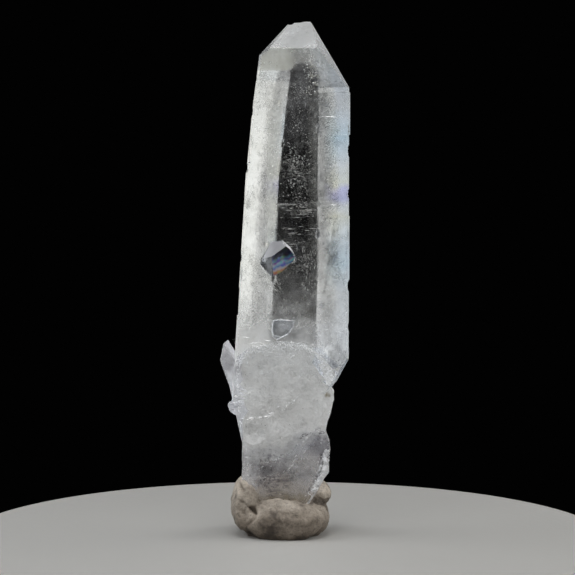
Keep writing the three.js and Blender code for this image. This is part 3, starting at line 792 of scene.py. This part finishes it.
def capShare(across, down):
    middle, reach = capLook["middle"], capLook["reach"]
    wobble = 0.12 * noise.noise(Vector((across * 0.22, down * 0.22,
        1))) + 0.08 * noise.noise(Vector((across * 0.6, down * 0.6, 5)))
    outside = step(math.hypot((across - middle[0]) / reach[0], (down - middle[1]) / reach[1]) + wobble,
        0.84, 1.08)
    upper = step(down, 48, 50) * (1 - step(down, 70.5, 73))
    # painted reflection: the foot's light seen in the rear faces under the point
    paintedReflectionAndBubbles = outside * upper * (1 - 0.72 * step(across, 286, 300))
    # painted shade: a dark sheet over the window's top
    paintedShade = (1 - outside) * max(1 - step(down, 71, 76), step(across, 306, 311) * (1 - step(down, 86, 95)))
    # grey bubbles beside the window's top go on the painted reflection sheet; a soft right edge to the window
    # and a greyer corner low at the right are painted shade
    cloudy = noise.noise(Vector((across * 0.3, down * 0.24, 9))) + 0.5 * noise.noise(Vector((across * 0.8,
        down * 0.8, 3)))
    bubbles = step(across, 307, 311) * (1 - step(across, 317, 321)) * step(down, 58,
        64) * (1 - step(down, 90, 99))
    paintedReflectionAndBubbles = max(paintedReflectionAndBubbles, 0.75 * bubbles * step(cloudy, -0.05, 0.3))
    tall = step(down, 84, 98) * (1 - step(down, 270, 320))
    softEdge = step(across, 315, 321) * (1 - step(across, 323, 336)) * tall * (1 - 0.4 * max(0.0, cloudy))
    corner = 1 - step(math.hypot((across - 338) / 10, (down - 357) / 15) + wobble, 0.6, 1.15)
    paler = (1 - step(across, 262, 284)) * step(down, 71, 78) * (1 - step(down, 100, 140))
    lowSides = step(down, 262, 288) * (1 - step(down, 338, 350)) * (
        1 - step(across, 264, 273) + 1.5 * step(across, 318, 324))
    lowWindow = step(across, 276, 282) * (1 - step(across, 312, 318)) * (
        step(down, 240, 258)) * (1 - step(down, 298, 312))
    topDusk = step(across, 286, 290) * step(down, 78, 88) * (1 - step(down, 108, 132))
    # painted shade darkens the window's right edge, the low right corner, the left top, the low sides, the low
    # window and the window's top
    paintedShade = max(paintedShade, 0.62 * softEdge, 0.6 * corner, 0.24 * paler, 0.13 * lowSides, 0.26 * lowWindow,
        0.26 * topDusk)
    haze = step(across, 264, 269) * (1 - step(across, edgeAt(down) - 3.5, edgeAt(down) - 0.5))
    haze *= step(down, 76, 120) * (1 - step(down, 262, 300)) * (0.8 + 0.5 * cloudy)
    inner = step(across, 305, 317) * (1 - step(across, 318, 324)) * tall
    inner *= (0.55 + 0.6 * cloudy) * (1 - 0.6 * step(down, 185, 205))
    return paintedReflectionAndBubbles, paintedShade, max(0.0, min(1.0, max(haze, 0.56 * inner)))


def makeCap():
    for number, name in enumerate(("paintedReflectionAndBubbles", "paintedShade", "leftHaze")):
        row = capLook[name]
        material, tree, shader, coords = newMaterial(name + "Cloud")
        cloud = addNode(tree, "TexNoise", {"Scale": 900, "Detail": 5, "Roughness": 0.7}, {"Vector": coords})
        shades = [(0.3, tuple(c * 0.8 for c in row["colour"])), (0.7, row["colour"])]
        tree.links.new(ramp(tree, cloud.outputs["Fac"], shades), shader.inputs["Base Color"])
        shader.inputs["Roughness"].default_value = 0.6
        share = addNode(tree, "Attribute", attribute_name="share")
        thin = ramp(tree, cloud.outputs["Fac"], [(0.3, grey(1)), (0.66, grey(0.62))])
        alpha = maths(tree, "MULTIPLY", maths(tree, "MULTIPLY", share.outputs["Fac"], thin), row["most"])
        tree.links.new(alpha, shader.inputs["Alpha"])
        pickNothing()
        low = seen(capLook["across"][0], capLook["down"][1])
        high = seen(capLook["across"][1], capLook["down"][0])
        cuts = [int((high[i] - low[i]) / capLook["mesh"]) for i in range(2)]
        bpy.ops.mesh.primitive_grid_add(x_subdivisions=cuts[0], y_subdivisions=cuts[1], size=1)
        sheet = bpy.context.object
        sheet.name = name + "Sheet"
        mesh = bmesh.new()
        mesh.from_mesh(sheet.data)
        layer = mesh.verts.layers.float.new("share")
        unused = []
        for v in mesh.verts:
            x, z = low[0] + (v.co.x + 0.5) * (high[0] - low[0]), low[1] + (v.co.y + 0.5) * (high[1] - low[1])
            v[layer] = capShare(x / pixel + middleColumn, bottomRow - z / pixel)[number]
            v.co = spot(x, frontSide(x) + capLook["depth"] + 0.12 * number, z)
            if v[layer] < 0.004 or howDeep(v.co) < 0.12:
                unused.append(v)
        bmesh.ops.delete(mesh, geom=unused, context="VERTS")
        mesh.to_mesh(sheet.data)
        mesh.free()
        sheet.data.materials.append(material)
        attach(sheet, "root")
    print("cap and shaded patch made")


# Crumbs on broken edges and hairline streaks under the front face
# places are the photograph's pixels, which the front plane turns into millimetres
def seen(across, down):
    return (across - middleColumn) * pixel, (bottomRow - down) * pixel


crumbs = {
    "seed": 5,
    "glowDepth": 0.5,           # millimetres that light goes through a crumb
    "ior": 2.3,                 # thin air gaps under the crumbs make them glint
    "chipLean": -12,            # degrees
    # on the foot's sharp edges, all round
    "footEdges": {"count": 700, "size": (0.04, 0.15), "sharp": 34},
    "prismEdges": {"count": 110, "size": (0.03, 0.09), "sharp": 35},
    "arc": {"line": [(238, 364), (243, 356), (250, 350.5), (260, 347.5), (275, 346), (290, 346),
        (304, 347.5), (314, 350),
                     (320, 356), (325, 364), (328, 374), (330, 386)], "count": 900, "spread": 5,
                         "size": (0.05, 0.22)},
    "underArc": {"line": [(262, 354), (290, 351), (306, 354), (314, 358), (321, 368)], "count": 260,
        "spread": 7, "size": (0.04, 0.13)},
    "dishGrain": {"line": [(250, 380), (300, 372), (318, 392), (262, 404), (300, 424), (258, 436)],
        "count": 260, "spread": 22,
                  "size": (0.03, 0.09)},
    "breakLine": {"line": [(243.5, 456), (263, 454.5), (284, 447), (305, 435), (320, 432), (328, 443)],
        "count": 46, "spread": 4,
                  "size": (0.03, 0.11)},
    "slant": {"line": [(258, 415), (272, 410), (286, 405), (297, 401)], "count": 34, "spread": 2.8,
        "size": (0.05, 0.17)},
    "icyStrip": {"line": [(325, 458), (325, 468), (322, 478), (316, 488), (310, 497)], "count": 260,
        "spread": 3.6, "size": (0.05, 0.2)},
    "clearRim": {"line": [(282, 242.5), (288, 246), (292.5, 252), (295.5, 259), (293, 263)], "count": 70,
        "spread": 0.8, "size": (0.04, 0.13)},
    "smallCrystal": {"line": [(272, 321), (280, 319.5), (294, 320), (293, 328), (288, 335), (277, 340),
        (272, 336), (271, 329), (272, 321)],
                     "count": 120, "spread": 0.7, "size": (0.04, 0.12)},
    "bladeRim": {"line": [(233, 396), (228.5, 384), (223.5, 372), (220.5, 362), (222, 350), (227.5, 343.5),
        (231.5, 347), (234, 355)],
                 "count": 60, "spread": 0.6, "size": (0.03, 0.1)},
    "leftRim": {"line": [(237.5, 349), (237, 366), (237.5, 392), (239, 412), (241, 430)], "count": 70,
        "spread": 1.3, "size": (0.06, 0.2)},
    "leftFoot": {"line": [(245, 437), (247, 455), (246, 480)], "count": 40, "spread": 1.5,
        "size": (0.05, 0.16)},
    "rightFoot": {"line": [(333, 398), (329, 418), (326, 434)], "count": 50, "spread": 1.4,
        "size": (0.06, 0.18)},
    "bigChips": [((250.5, 420.5), 4.2, 1.9, 8), ((267, 418.3), 5.5, 1.8, 7), ((271, 415.5), 4.2, 1.5, 12),
        ((259, 419.6), 2.8, 1.7, 4),
                 ((247, 422), 2.0, 1.3, 20), ((294, 402.5), 1.8, 0.9, 30), ((307, 440), 2.2, 1.0, 35),
                     ((303, 443.5), 1.6, 0.8, 30),
                 ((246, 452), 1.2, 1.6, 0), ((246.5, 460), 1.0, 2.2, 85), ((289, 471), 3.0, 0.8, 45),
                     ((296, 458), 2.2, 0.6, 50),
                 ((292, 468), 3.6, 0.7, 50), ((294, 463), 2.4, 0.6, 60), ((286, 408), 2.6, 0.8, 20),
                     ((282, 412), 1.8, 0.6, 35),
                 ((237.6, 351.5), 1.2, 1.8, 80), ((235.5, 398), 1.6, 2.4, 80), ((278, 409), 2.2, 0.6, 25),
                     ((289, 404.5), 2.0, 0.5, 25),
                 ((332, 117.6), 15.5, 0.42, -1), ((334, 205), 13, 0.25, -1), ((257.4, 83), 0.9, 1.3, 80),
                     ((255, 103), 0.8, 1.4, 80),
                 ((253.4, 120), 0.8, 1.2, 80), ((250, 162.6), 1.1, 1.4, 70), ((286, 96), 0.6, 0.6, 0),
                     ((300, 109), 0.5, 0.6, 0),
                 ((308.5, 76), 0.9, 1.3, 60), ((311.5, 79), 1.0, 0.7, 20), ((313, 84), 0.7, 1.4, 100),
                     ((309, 88), 1.3, 0.6, 120),
                 ((306.5, 92), 0.7, 1.0, 30), ((314.5, 92.5), 0.6, 1.1, 75), ((311, 95.5), 1.0, 0.5, 10),
                     ((304, 71), 1.2, 0.6, 140),
                 ((315.5, 74), 0.5, 1.0, 80), ((318, 97), 0.5, 0.9, 95), ((307, 66), 1.0, 0.5, 30),
                     ((300.5, 88.5), 0.6, 0.5, 0),
                 ((258, 349), 9, 0.35, -4), ((254, 343.5), 7, 0.3, 3), ((268, 341), 6, 0.3, -8),
                     ((247, 338), 5, 0.3, -5),
                 ((300, 343), 4, 0.35, 25), ((237.5, 388), 1.2, 2.6, 85), ((234, 405), 1.2, 1.6, 60),
                     ((239, 410), 1.0, 2.2, 80), ((262, 469.5), 2.4, 0.4, 30), ((276, 462), 3.0, 0.35, 35),
                     ((284, 474), 2.0, 0.4, 55)],
}
cracks = {
    "seed": 9,
    "wide": (0.03, 0.085),      # half widths in millimetres
    "high": 0.025,
    # line, how many, spread in pixels, length in pixels, slant in degrees
    "lines": [
        ([(321, 457), (322.8, 467), (319.5, 476.5), (313.7, 485.6), (307, 496)], 90, 0.6, (1.5, 5),
            (40, 110)),
        ([(260, 466), (268, 482), (276, 494)], 70, 6, (1, 5), (50, 125)),
        ([(258, 480), (284, 492)], 26, 6, (1, 6), (-20, 15)),
            ([(290, 470), (300, 488)], 16, 5, (1, 4), (30, 80)),
        ([(298, 441), (310, 435.5), (322, 434)], 16, 1.2, (1, 4), (0, 40)),
        ([(248, 425), (300, 425)], 8, 8, (0.6, 1.5), (0, 180)),
        ([(239, 376), (247, 376.5)], 4, 1, (1, 1.6), (0, 180)),
    ],
}
hairlines = {
    "seed": 3,
    "wide": 0.03,               # half sizes in millimetres
    "high": (0.015, 0.04),
    # middle of the patch, half sizes, how many, length, slant in degrees, depth below the face
    "patches": [
        ((273, 285), (9, 7), 50, (1.5, 6), (28, 62), 0.2),
            ((310, 272), (9, 26), 110, (1.2, 6), (70, 110), 0.7),
        ((262, 338), (22, 12), 30, (3, 13), (-8, 6), 0.25),
            ((268, 322), (14, 9), 12, (4, 12), (-6, 8), 0.3),
        ((332, 205), (13, 3), 9, (4, 14), (-4, 4), 0.5), ((299, 211), (19, 7), 34, (3, 13), (-5, 4), 0.3),
        ((299, 236), (18, 12), 18, (4, 12), (-5, 5), 0.35),
            ((266, 80), (8, 8), 70, (1.2, 4), (20, 130), 0.15),
        ((305, 51), (2, 3), 12, (2, 5), (60, 120), 0.2), ((311, 60), (3, 4), 26, (1.5, 4), (40, 120), 0.2),
        ((312, 78), (4, 10), 30, (1.5, 4), (60, 130), 0.25),
            ((322, 60), (10, 16), 30, (1.2, 4), (20, 80), 0.2),
        ((257, 346), (17, 4), 40, (5, 18), (-7, 5), 0.12),
            ((249, 334), (12, 9), 40, (5, 16), (-6, 5), 0.14),
            ((290, 344), (20, 5), 30, (3, 9), (-25, 25), 0.15),
        ((266, 150), (8, 60), 16, (2, 8), (-10, 10), 0.4),
            ((334, 130), (10, 50), 26, (2, 8), (-12, 12), 0.4),
        ((330, 290), (12, 45), 26, (2, 8), (-25, 30), 0.4),
            ((300, 312), (18, 14), 34, (1.2, 5), (40, 110), 0.8),
    ],
}


def onSurface(x, z):
    start = spot(x, -40, z)
    hit, place, normal = quartzPoint.ray_cast(start, Vector((0, 1, 0)))[:3]
    return (place, normal) if hit else (None, None)


def diamond(stretch, turn, middle, corners, faces):
    base = len(corners)
    points = [(1, 0, 0), (-1, 0, 0), (0, 1, 0), (0, -1, 0), (0, 0, 1), (0, 0, -1)]
    for p in points:
        corners.append(middle + turn @ Vector([a * b * mm for a, b in zip(p, stretch)]))
    for a, b, c in ((0, 2, 4), (2, 1, 4), (1, 3, 4), (3, 0, 4), (2, 0, 5), (1, 2, 5), (3, 1, 5), (0, 3, 5)):
        faces.append([base + a, base + b, base + c])


def joinedPiece(name, corners, faces, material):
    mesh = bpy.data.meshes.new(name)
    mesh.from_pydata(corners, [], faces)
    piece = bpy.data.objects.new(name, mesh)
    bpy.context.scene.collection.objects.link(piece)
    mesh.materials.append(material)
    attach(piece, "root")


def alongLine(line, share):
    lengths = [math.dist(a, b) for a, b in zip(line, line[1:])]
    left = share * sum(lengths)
    for (a, b), length in zip(zip(line, line[1:]), lengths):
        if left <= length:
            t = left / length
            return a[0] + (b[0] - a[0]) * t, a[1] + (b[1] - a[1]) * t
        left -= length
    return line[-1]


def edgeChips(chance):
    mesh = bmesh.new()
    mesh.from_mesh(quartzPoint.data)
    found = []
    for name in ("footEdges", "prismEdges"):
        row = crumbs[name]
        low, high = (0.009, crystal["footTop"] * mm) if name == "footEdges" else (crystal["footTop"] * mm,
            0.09)
        sharp = [e for e in mesh.edges if len(e.link_faces) == 2 and low < e.verts[0].co.z < high
                 and math.degrees(e.calc_face_angle()) > row["sharp"]]
        lengths = [e.calc_length() for e in sharp]
        for e in chance.choices(sharp, weights=lengths, k=row["count"]):
            place = e.verts[0].co.lerp(e.verts[1].co, chance.random())
            normal = (e.link_faces[0].normal + e.link_faces[1].normal).normalized()
            found.append((place, normal, chance.uniform(*row["size"]) * chance.choice((0.5, 0.8, 1, 1))))
    mesh.free()
    return found


def makeCrumbs():
    chance = random.Random(crumbs["seed"])
    corners, faces = [], []
    for place, normal, size in edgeChips(chance):
        turn = normal.to_track_quat("Z", "Y").to_matrix() @ Matrix.Rotation(chance.uniform(0, 6.28), 3, "Z")
        diamond((size * chance.uniform(0.8, 2), size * chance.uniform(0.4, 0.9), size * 0.4), turn, place,
            corners, faces)
    for row in crumbs.values():
        if not isinstance(row, dict) or "line" not in row:
            continue
        for _ in range(row["count"]):
            across, down = alongLine(row["line"], chance.random())
            x, z = seen(across + chance.gauss(0, row["spread"] / 2),
                down + chance.gauss(0, row["spread"] / 2))
            place, normal = onSurface(x, z)
            if place is None:
                continue
            size = chance.uniform(*row["size"]) * chance.choice((0.5, 0.8, 1, 1))
            turn = normal.to_track_quat("Z", "Y").to_matrix() @ Matrix.Rotation(chance.uniform(0, 6.28), 3,
                "Z")
            turn = turn @ Matrix.Rotation(chance.uniform(-0.5, 0.5), 3, "X")
            diamond((size * chance.uniform(0.8, 1.9), size * chance.uniform(0.4, 0.9), size * 0.45), turn,
                place, corners, faces)
    for (across, down), length, high, slant in crumbs["bigChips"]:
        x, z = seen(across, down)
        place, normal = onSurface(x, z)
        if place is None:
            continue
        turn = Matrix.Rotation(math.radians(90 - crumbs["chipLean"]), 3,
            "X") @ Matrix.Rotation(math.radians(slant), 3, "Z")
        diamond((length * pixel, high * pixel, 0.06 + 0.06 * high), turn, place, corners, faces)
    crumbQuartz = quartzMaterial("crumbQuartz", **quartzLook["smallRim"])
    shader = crumbQuartz.node_tree.nodes["Principled BSDF"]
    shader.inputs["Subsurface Weight"].default_value = 1
    shader.inputs["Subsurface Radius"].default_value = (1, 1, 1)
    shader.inputs["Subsurface Scale"].default_value = crumbs["glowDepth"] * mm
    shader.inputs["IOR"].default_value = crumbs["ior"]
    joinedPiece("brokenCrumbs", corners, faces, crumbQuartz)
    print("crumbs:", len(faces) // 8)


def makeDarkCracks():
    # cracks that let the dark behind the crystal show
    chance = random.Random(cracks["seed"])
    corners, faces = [], []
    for line, count, spread, lengths, slants in cracks["lines"]:
        for _ in range(count):
            across, down = alongLine(line, chance.random())
            x, z = seen(across + chance.gauss(0, spread), down + chance.gauss(0, spread))
            place, normal = onSurface(x, z)
            if place is None:
                continue
            turn = normal.to_track_quat("Z",
                "Y").to_matrix() @ Matrix.Rotation(math.radians(chance.uniform(*slants)), 3, "Z")
            stretch = (chance.uniform(*lengths) * pixel / 2, chance.uniform(*cracks["wide"]),
                cracks["high"])
            diamond(stretch, turn, place, corners, faces)
    joinedPiece("darkCracks", corners, faces, simpleWhite("crackShade", (0.07, 0.065, 0.07), 0.4))
    print("cracks:", len(faces) // 8)


def makeHairlines():
    chance = random.Random(hairlines["seed"])
    corners, faces = [], []
    for (across, down), (wide, tall), count, lengths, slants, deep in hairlines["patches"]:
        for _ in range(count):
            x, z = seen(across + chance.uniform(-wide, wide), down + chance.uniform(-tall, tall))
            place, normal = onSurface(x, z)
            if place is None or normal.y > -0.9:
                continue
            length = chance.uniform(*lengths) * pixel / 2
            turn = Matrix.Rotation(math.radians(chance.uniform(*slants)), 3, "Y")
            middle = place + Vector((0, deep * chance.uniform(0.6, 1.6) * mm, 0))
            diamond((length, hairlines["wide"], chance.uniform(*hairlines["high"])), turn, middle, corners,
                faces)
    joinedPiece("hairlineStreaks", corners, faces, fleckWhite)
    print("hairlines:", len(faces) // 8)


makeCap()
makeCrumbs()
makeDarkCracks()
makeHairlines()


flecks = {
    "seed": 11,
    "size": (0.018, 0.056),
    # middle of the cloud in the photograph's pixels, spread, how many, nearest and furthest depth in mm
    "clouds": [
        ((301, 140), (12, 42), 850, (0.25, 4)), ((297, 170), (9, 16), 520, (0.25, 2)),
            ((300, 92), (13, 14), 300, (0.25, 5)),
        ((303, 205), (12, 9), 160, (0.3, 4)), ((306, 268), (12, 16), 260, (0.3, 6)),
            ((311, 86), (5, 12), 260, (0.15, 0.8)), ((266, 150), (9, 50), 420, (0.1, 0.6)),
        ((333, 150), (9, 50), 300, (0.1, 0.6)), ((266, 81), (7, 6), 200, (0.1, 0.4)),
            ((320, 75), (10, 14), 120, (0.1, 0.8)),
        ((262, 300), (12, 30), 200, (0.1, 0.6)), ((325, 300), (12, 34), 220, (0.1, 0.8)),
    ],
}


def makeFlecks():
    chance = random.Random(flecks["seed"])
    pickNothing()
    bpy.ops.mesh.primitive_ico_sphere_add(subdivisions=1, radius=1)
    one = bpy.context.object
    shape = bmesh.new()
    shape.from_mesh(one.data)
    pattern = [v.co.copy() for v in shape.verts]
    sides = [[v.index for v in f.verts] for f in shape.faces]
    shape.free()
    bpy.data.objects.remove(one)
    corners, faces = [], []
    for (across, down), (wide, tall), count, (near, far) in flecks["clouds"]:
        for _ in range(count):
            x, z = seen(chance.gauss(across, wide / 1.4), chance.gauss(down, tall / 1.4))
            middle = spot(x, frontSide(x) + near + (far - near) * chance.random() ** 2, z)
            if howDeep(middle) < 0.06 or noise.noise(middle * 330) < chance.uniform(-0.7, 0.3):
                continue
            size = chance.uniform(*flecks["size"]) * chance.choice((0.7, 1, 1, 1.3, 1.8))
            turn = Matrix.Rotation(chance.uniform(0, 6.28), 3,
                Vector((chance.random(), chance.random(), chance.random() + 0.1)))
            stretch = Vector((chance.uniform(0.6, 1.6), chance.uniform(0.4, 1), chance.uniform(0.6, 1.6)))
            base = len(corners)
            for co in pattern:
                corners.append(middle + turn @ Vector((co.x * stretch.x, co.y * stretch.y,
                    co.z * stretch.z)) * size * mm)
            faces += [[base + i for i in side] for side in sides]
    joinedPiece("brightFlecks", corners, faces, fleckWhite)
    print("flecks:", len(faces) // len(sides))


makeFlecks()


# The putty
puttyLook = {
    "light": (0.31, 0.27, 0.225),
    "dark": (0.11, 0.09, 0.074),
    "voxel": 0.24,
    "swell": 0.24,
    # creases pressed into the front, in the photograph's pixels, with depth and width in millimetres
    "creases": [
        {"line": [(240.5, 504.5), (246, 508), (251, 510.5), (255.5, 515), (252, 521), (247, 526)],
            "depth": 0.42, "width": 0.27},
        {"line": [(250, 510), (253.5, 513)], "depth": 0.7, "width": 0.36},
        {"line": [(312, 502.5), (317, 506), (322, 507.5), (328, 511), (330, 518)], "depth": 0.5,
            "width": 0.3},
        {"line": [(257, 503.5), (266, 506), (275, 508.5), (286, 508), (298, 507.5), (306, 505), (313, 502)],
            "depth": 0.22, "width": 0.4},
        {"line": [(237.5, 503), (241.5, 504.5)], "depth": 0.3, "width": 0.2},
        {"line": [(238.2, 489), (241, 492.5)], "depth": 0.75, "width": 0.42},
        {"line": [(240, 507.5), (244, 511), (243, 515)], "depth": 0.3, "width": 0.2},
        {"line": [(320.5, 503), (326, 506), (329.5, 505)], "depth": 0.6, "width": 0.3},
        {"line": [(262, 520), (274, 524), (288, 523)], "depth": 0.22, "width": 0.5},
        {"line": [(284, 514), (300, 517), (314, 515)], "depth": 0.2, "width": 0.6},
        {"line": [(296, 527), (310, 527), (322, 522)], "depth": 0.25, "width": 0.5},
        {"line": [(242, 514), (246, 520)], "depth": 0.25, "width": 0.35},
        {"line": [(318, 492), (325, 494), (328, 500)], "depth": 0.25, "width": 0.4},
    ],
}


def puttyMaterial():
    material, tree, shader, coords = newMaterial("greyPutty")
    broad = addNode(tree, "TexNoise", {"Scale": 230, "Detail": 5, "Roughness": 0.62}, {"Vector": coords})
    fine = addNode(tree, "TexNoise", {"Scale": 2200, "Detail": 5, "Roughness": 0.72}, {"Vector": coords})
    skin = addNode(tree, "TexVoronoi", {"Scale": 1500, "Randomness": 1}, {"Vector": coords},
        feature="DISTANCE_TO_EDGE")
    colour = ramp(tree, broad.outputs["Fac"], [(0.36, puttyLook["dark"]), (0.5, puttyLook["light"]), (0.72,
        (0.44, 0.39, 0.335))])
    dust = ramp(tree, fine.outputs["Fac"], [(0.32, grey(0.5)), (0.48, grey(0.98)), (0.7, grey(1.25))])
    colour = mixColours(tree, 1.0, colour, dust, "MULTIPLY")
    # painted shade: the pressed creases are darkened where shade falls in them
    paintedCreaseShade = addNode(tree, "Attribute", attribute_name="paintedShadeInCreases")
    colour = mixColours(tree, paintedCreaseShade.outputs["Fac"], colour, (0.07, 0.055, 0.042, 1))
    # painted shade darker towards the bottom and painted light brighter towards the top, as light falls on the
    # putty
    parts = addNode(tree, "SeparateXYZ", links={"Vector": coords})
    low = addNode(tree, "MapRange", {"From Min": 0.0002, "From Max": 0.0086}, {"Value": maths(
        tree, "MULTIPLY_ADD", maths(tree, "SUBTRACT", broad.outputs["Fac"], 0.5), 0.004,
            parts.outputs["Z"])})
    colour = mixColours(tree, 1.0, colour, ramp(tree, low.outputs["Result"], [(0, (0.42, 0.38, 0.34)), (0.5,
        (0.92, 0.89, 0.86)), (0.8, grey(1.2)), (1, grey(1.6))]), "MULTIPLY")
    tree.links.new(colour, shader.inputs["Base Color"])
    height = maths(tree, "MULTIPLY_ADD", fine.outputs["Fac"], 0.5, broad.outputs["Fac"])
    height = maths(tree, "MULTIPLY_ADD", skin.outputs["Distance"], 0.12, height)
    bump = addNode(tree, "Bump", {"Strength": 0.9, "Distance": 0.0003}, {"Height": height})
    tree.links.new(bump.outputs["Normal"], shader.inputs["Normal"])
    shader.inputs["Roughness"].default_value = 0.6
    return material


def toLine(p, line):
    best = 1e9
    for a, b in zip(line, line[1:]):
        along = (b[0] - a[0], b[1] - a[1])
        t = ((p[0] - a[0]) * along[0] + (p[1] - a[1]) * along[1]) / (along[0] ** 2 + along[1] ** 2)
        t = max(0.0, min(1.0, t))
        best = min(best, math.dist(p, (a[0] + along[0] * t, a[1] + along[1] * t)))
    return best


def makePutty():
    piece = copyOfNode("putty_base", "puttyPad")
    remesh = piece.modifiers.new("evenFaces", "REMESH")
    remesh.mode = "VOXEL"
    remesh.voxel_size = puttyLook["voxel"] * mm
    bpy.ops.object.modifier_apply(modifier=remesh.name)
    smooth = piece.modifiers.new("handSmooth", "SMOOTH")
    smooth.factor, smooth.iterations = 0.6, 4
    bpy.ops.object.modifier_apply(modifier=smooth.name)
    low, high = cadPutty
    half = [(high[i] - low[i]) / 2 for i in range(2)]
    mid = [(high[i] + low[i]) / 2 for i in range(2)]
    swell = puttyLook["swell"] * mm
    creases = [([seen(*p) for p in row["line"]], row["depth"],
        row["width"]) for row in puttyLook["creases"]]
    paintedCreaseShade = piece.data.attributes.new("paintedShadeInCreases", "FLOAT", "POINT")
    normals = [v.normal.copy() for v in piece.data.vertices]
    for v, n in zip(piece.data.vertices, normals):
        p = v.co * 1000
        push = 0.24 * noise.noise(p * 0.42 + Vector((2, 5,
            1))) + 0.12 * noise.noise(p * 1.1) + 0.06 * noise.fractal(p * 2.4, 1, 2, 3)
        here = (p.x - shiftX, p.z)
        dark = 0.0
        # creases are pressed in, and the painted shade in them is kept per point
        if v.co.y < -0.001 and n.y < 0.35:
            for line, depth, width in creases:
                away = toLine(here, line)
                if away < width * 3:
                    press = math.exp(-(away / width) ** 2)
                    push -= depth * press
                    dark = max(dark, depth * press * 1.1)
        paintedCreaseShade.data[v.index].value = min(1.0, dark * dark)
        v.co += n * (swell + mm * push)
        for i in range(2):
            v.co[i] = mid[i] + (v.co[i] - mid[i]) * (half[i] - swell) / half[i]
        v.co.z = max(0.0, v.co.z)
    piece.data.materials.append(puttyMaterial())
    bpy.ops.object.shade_smooth()
    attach(piece, "root")
    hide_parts("putty_base")
    print("putty faces:", len(piece.data.polygons))


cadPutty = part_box("putty_base")
makePutty()
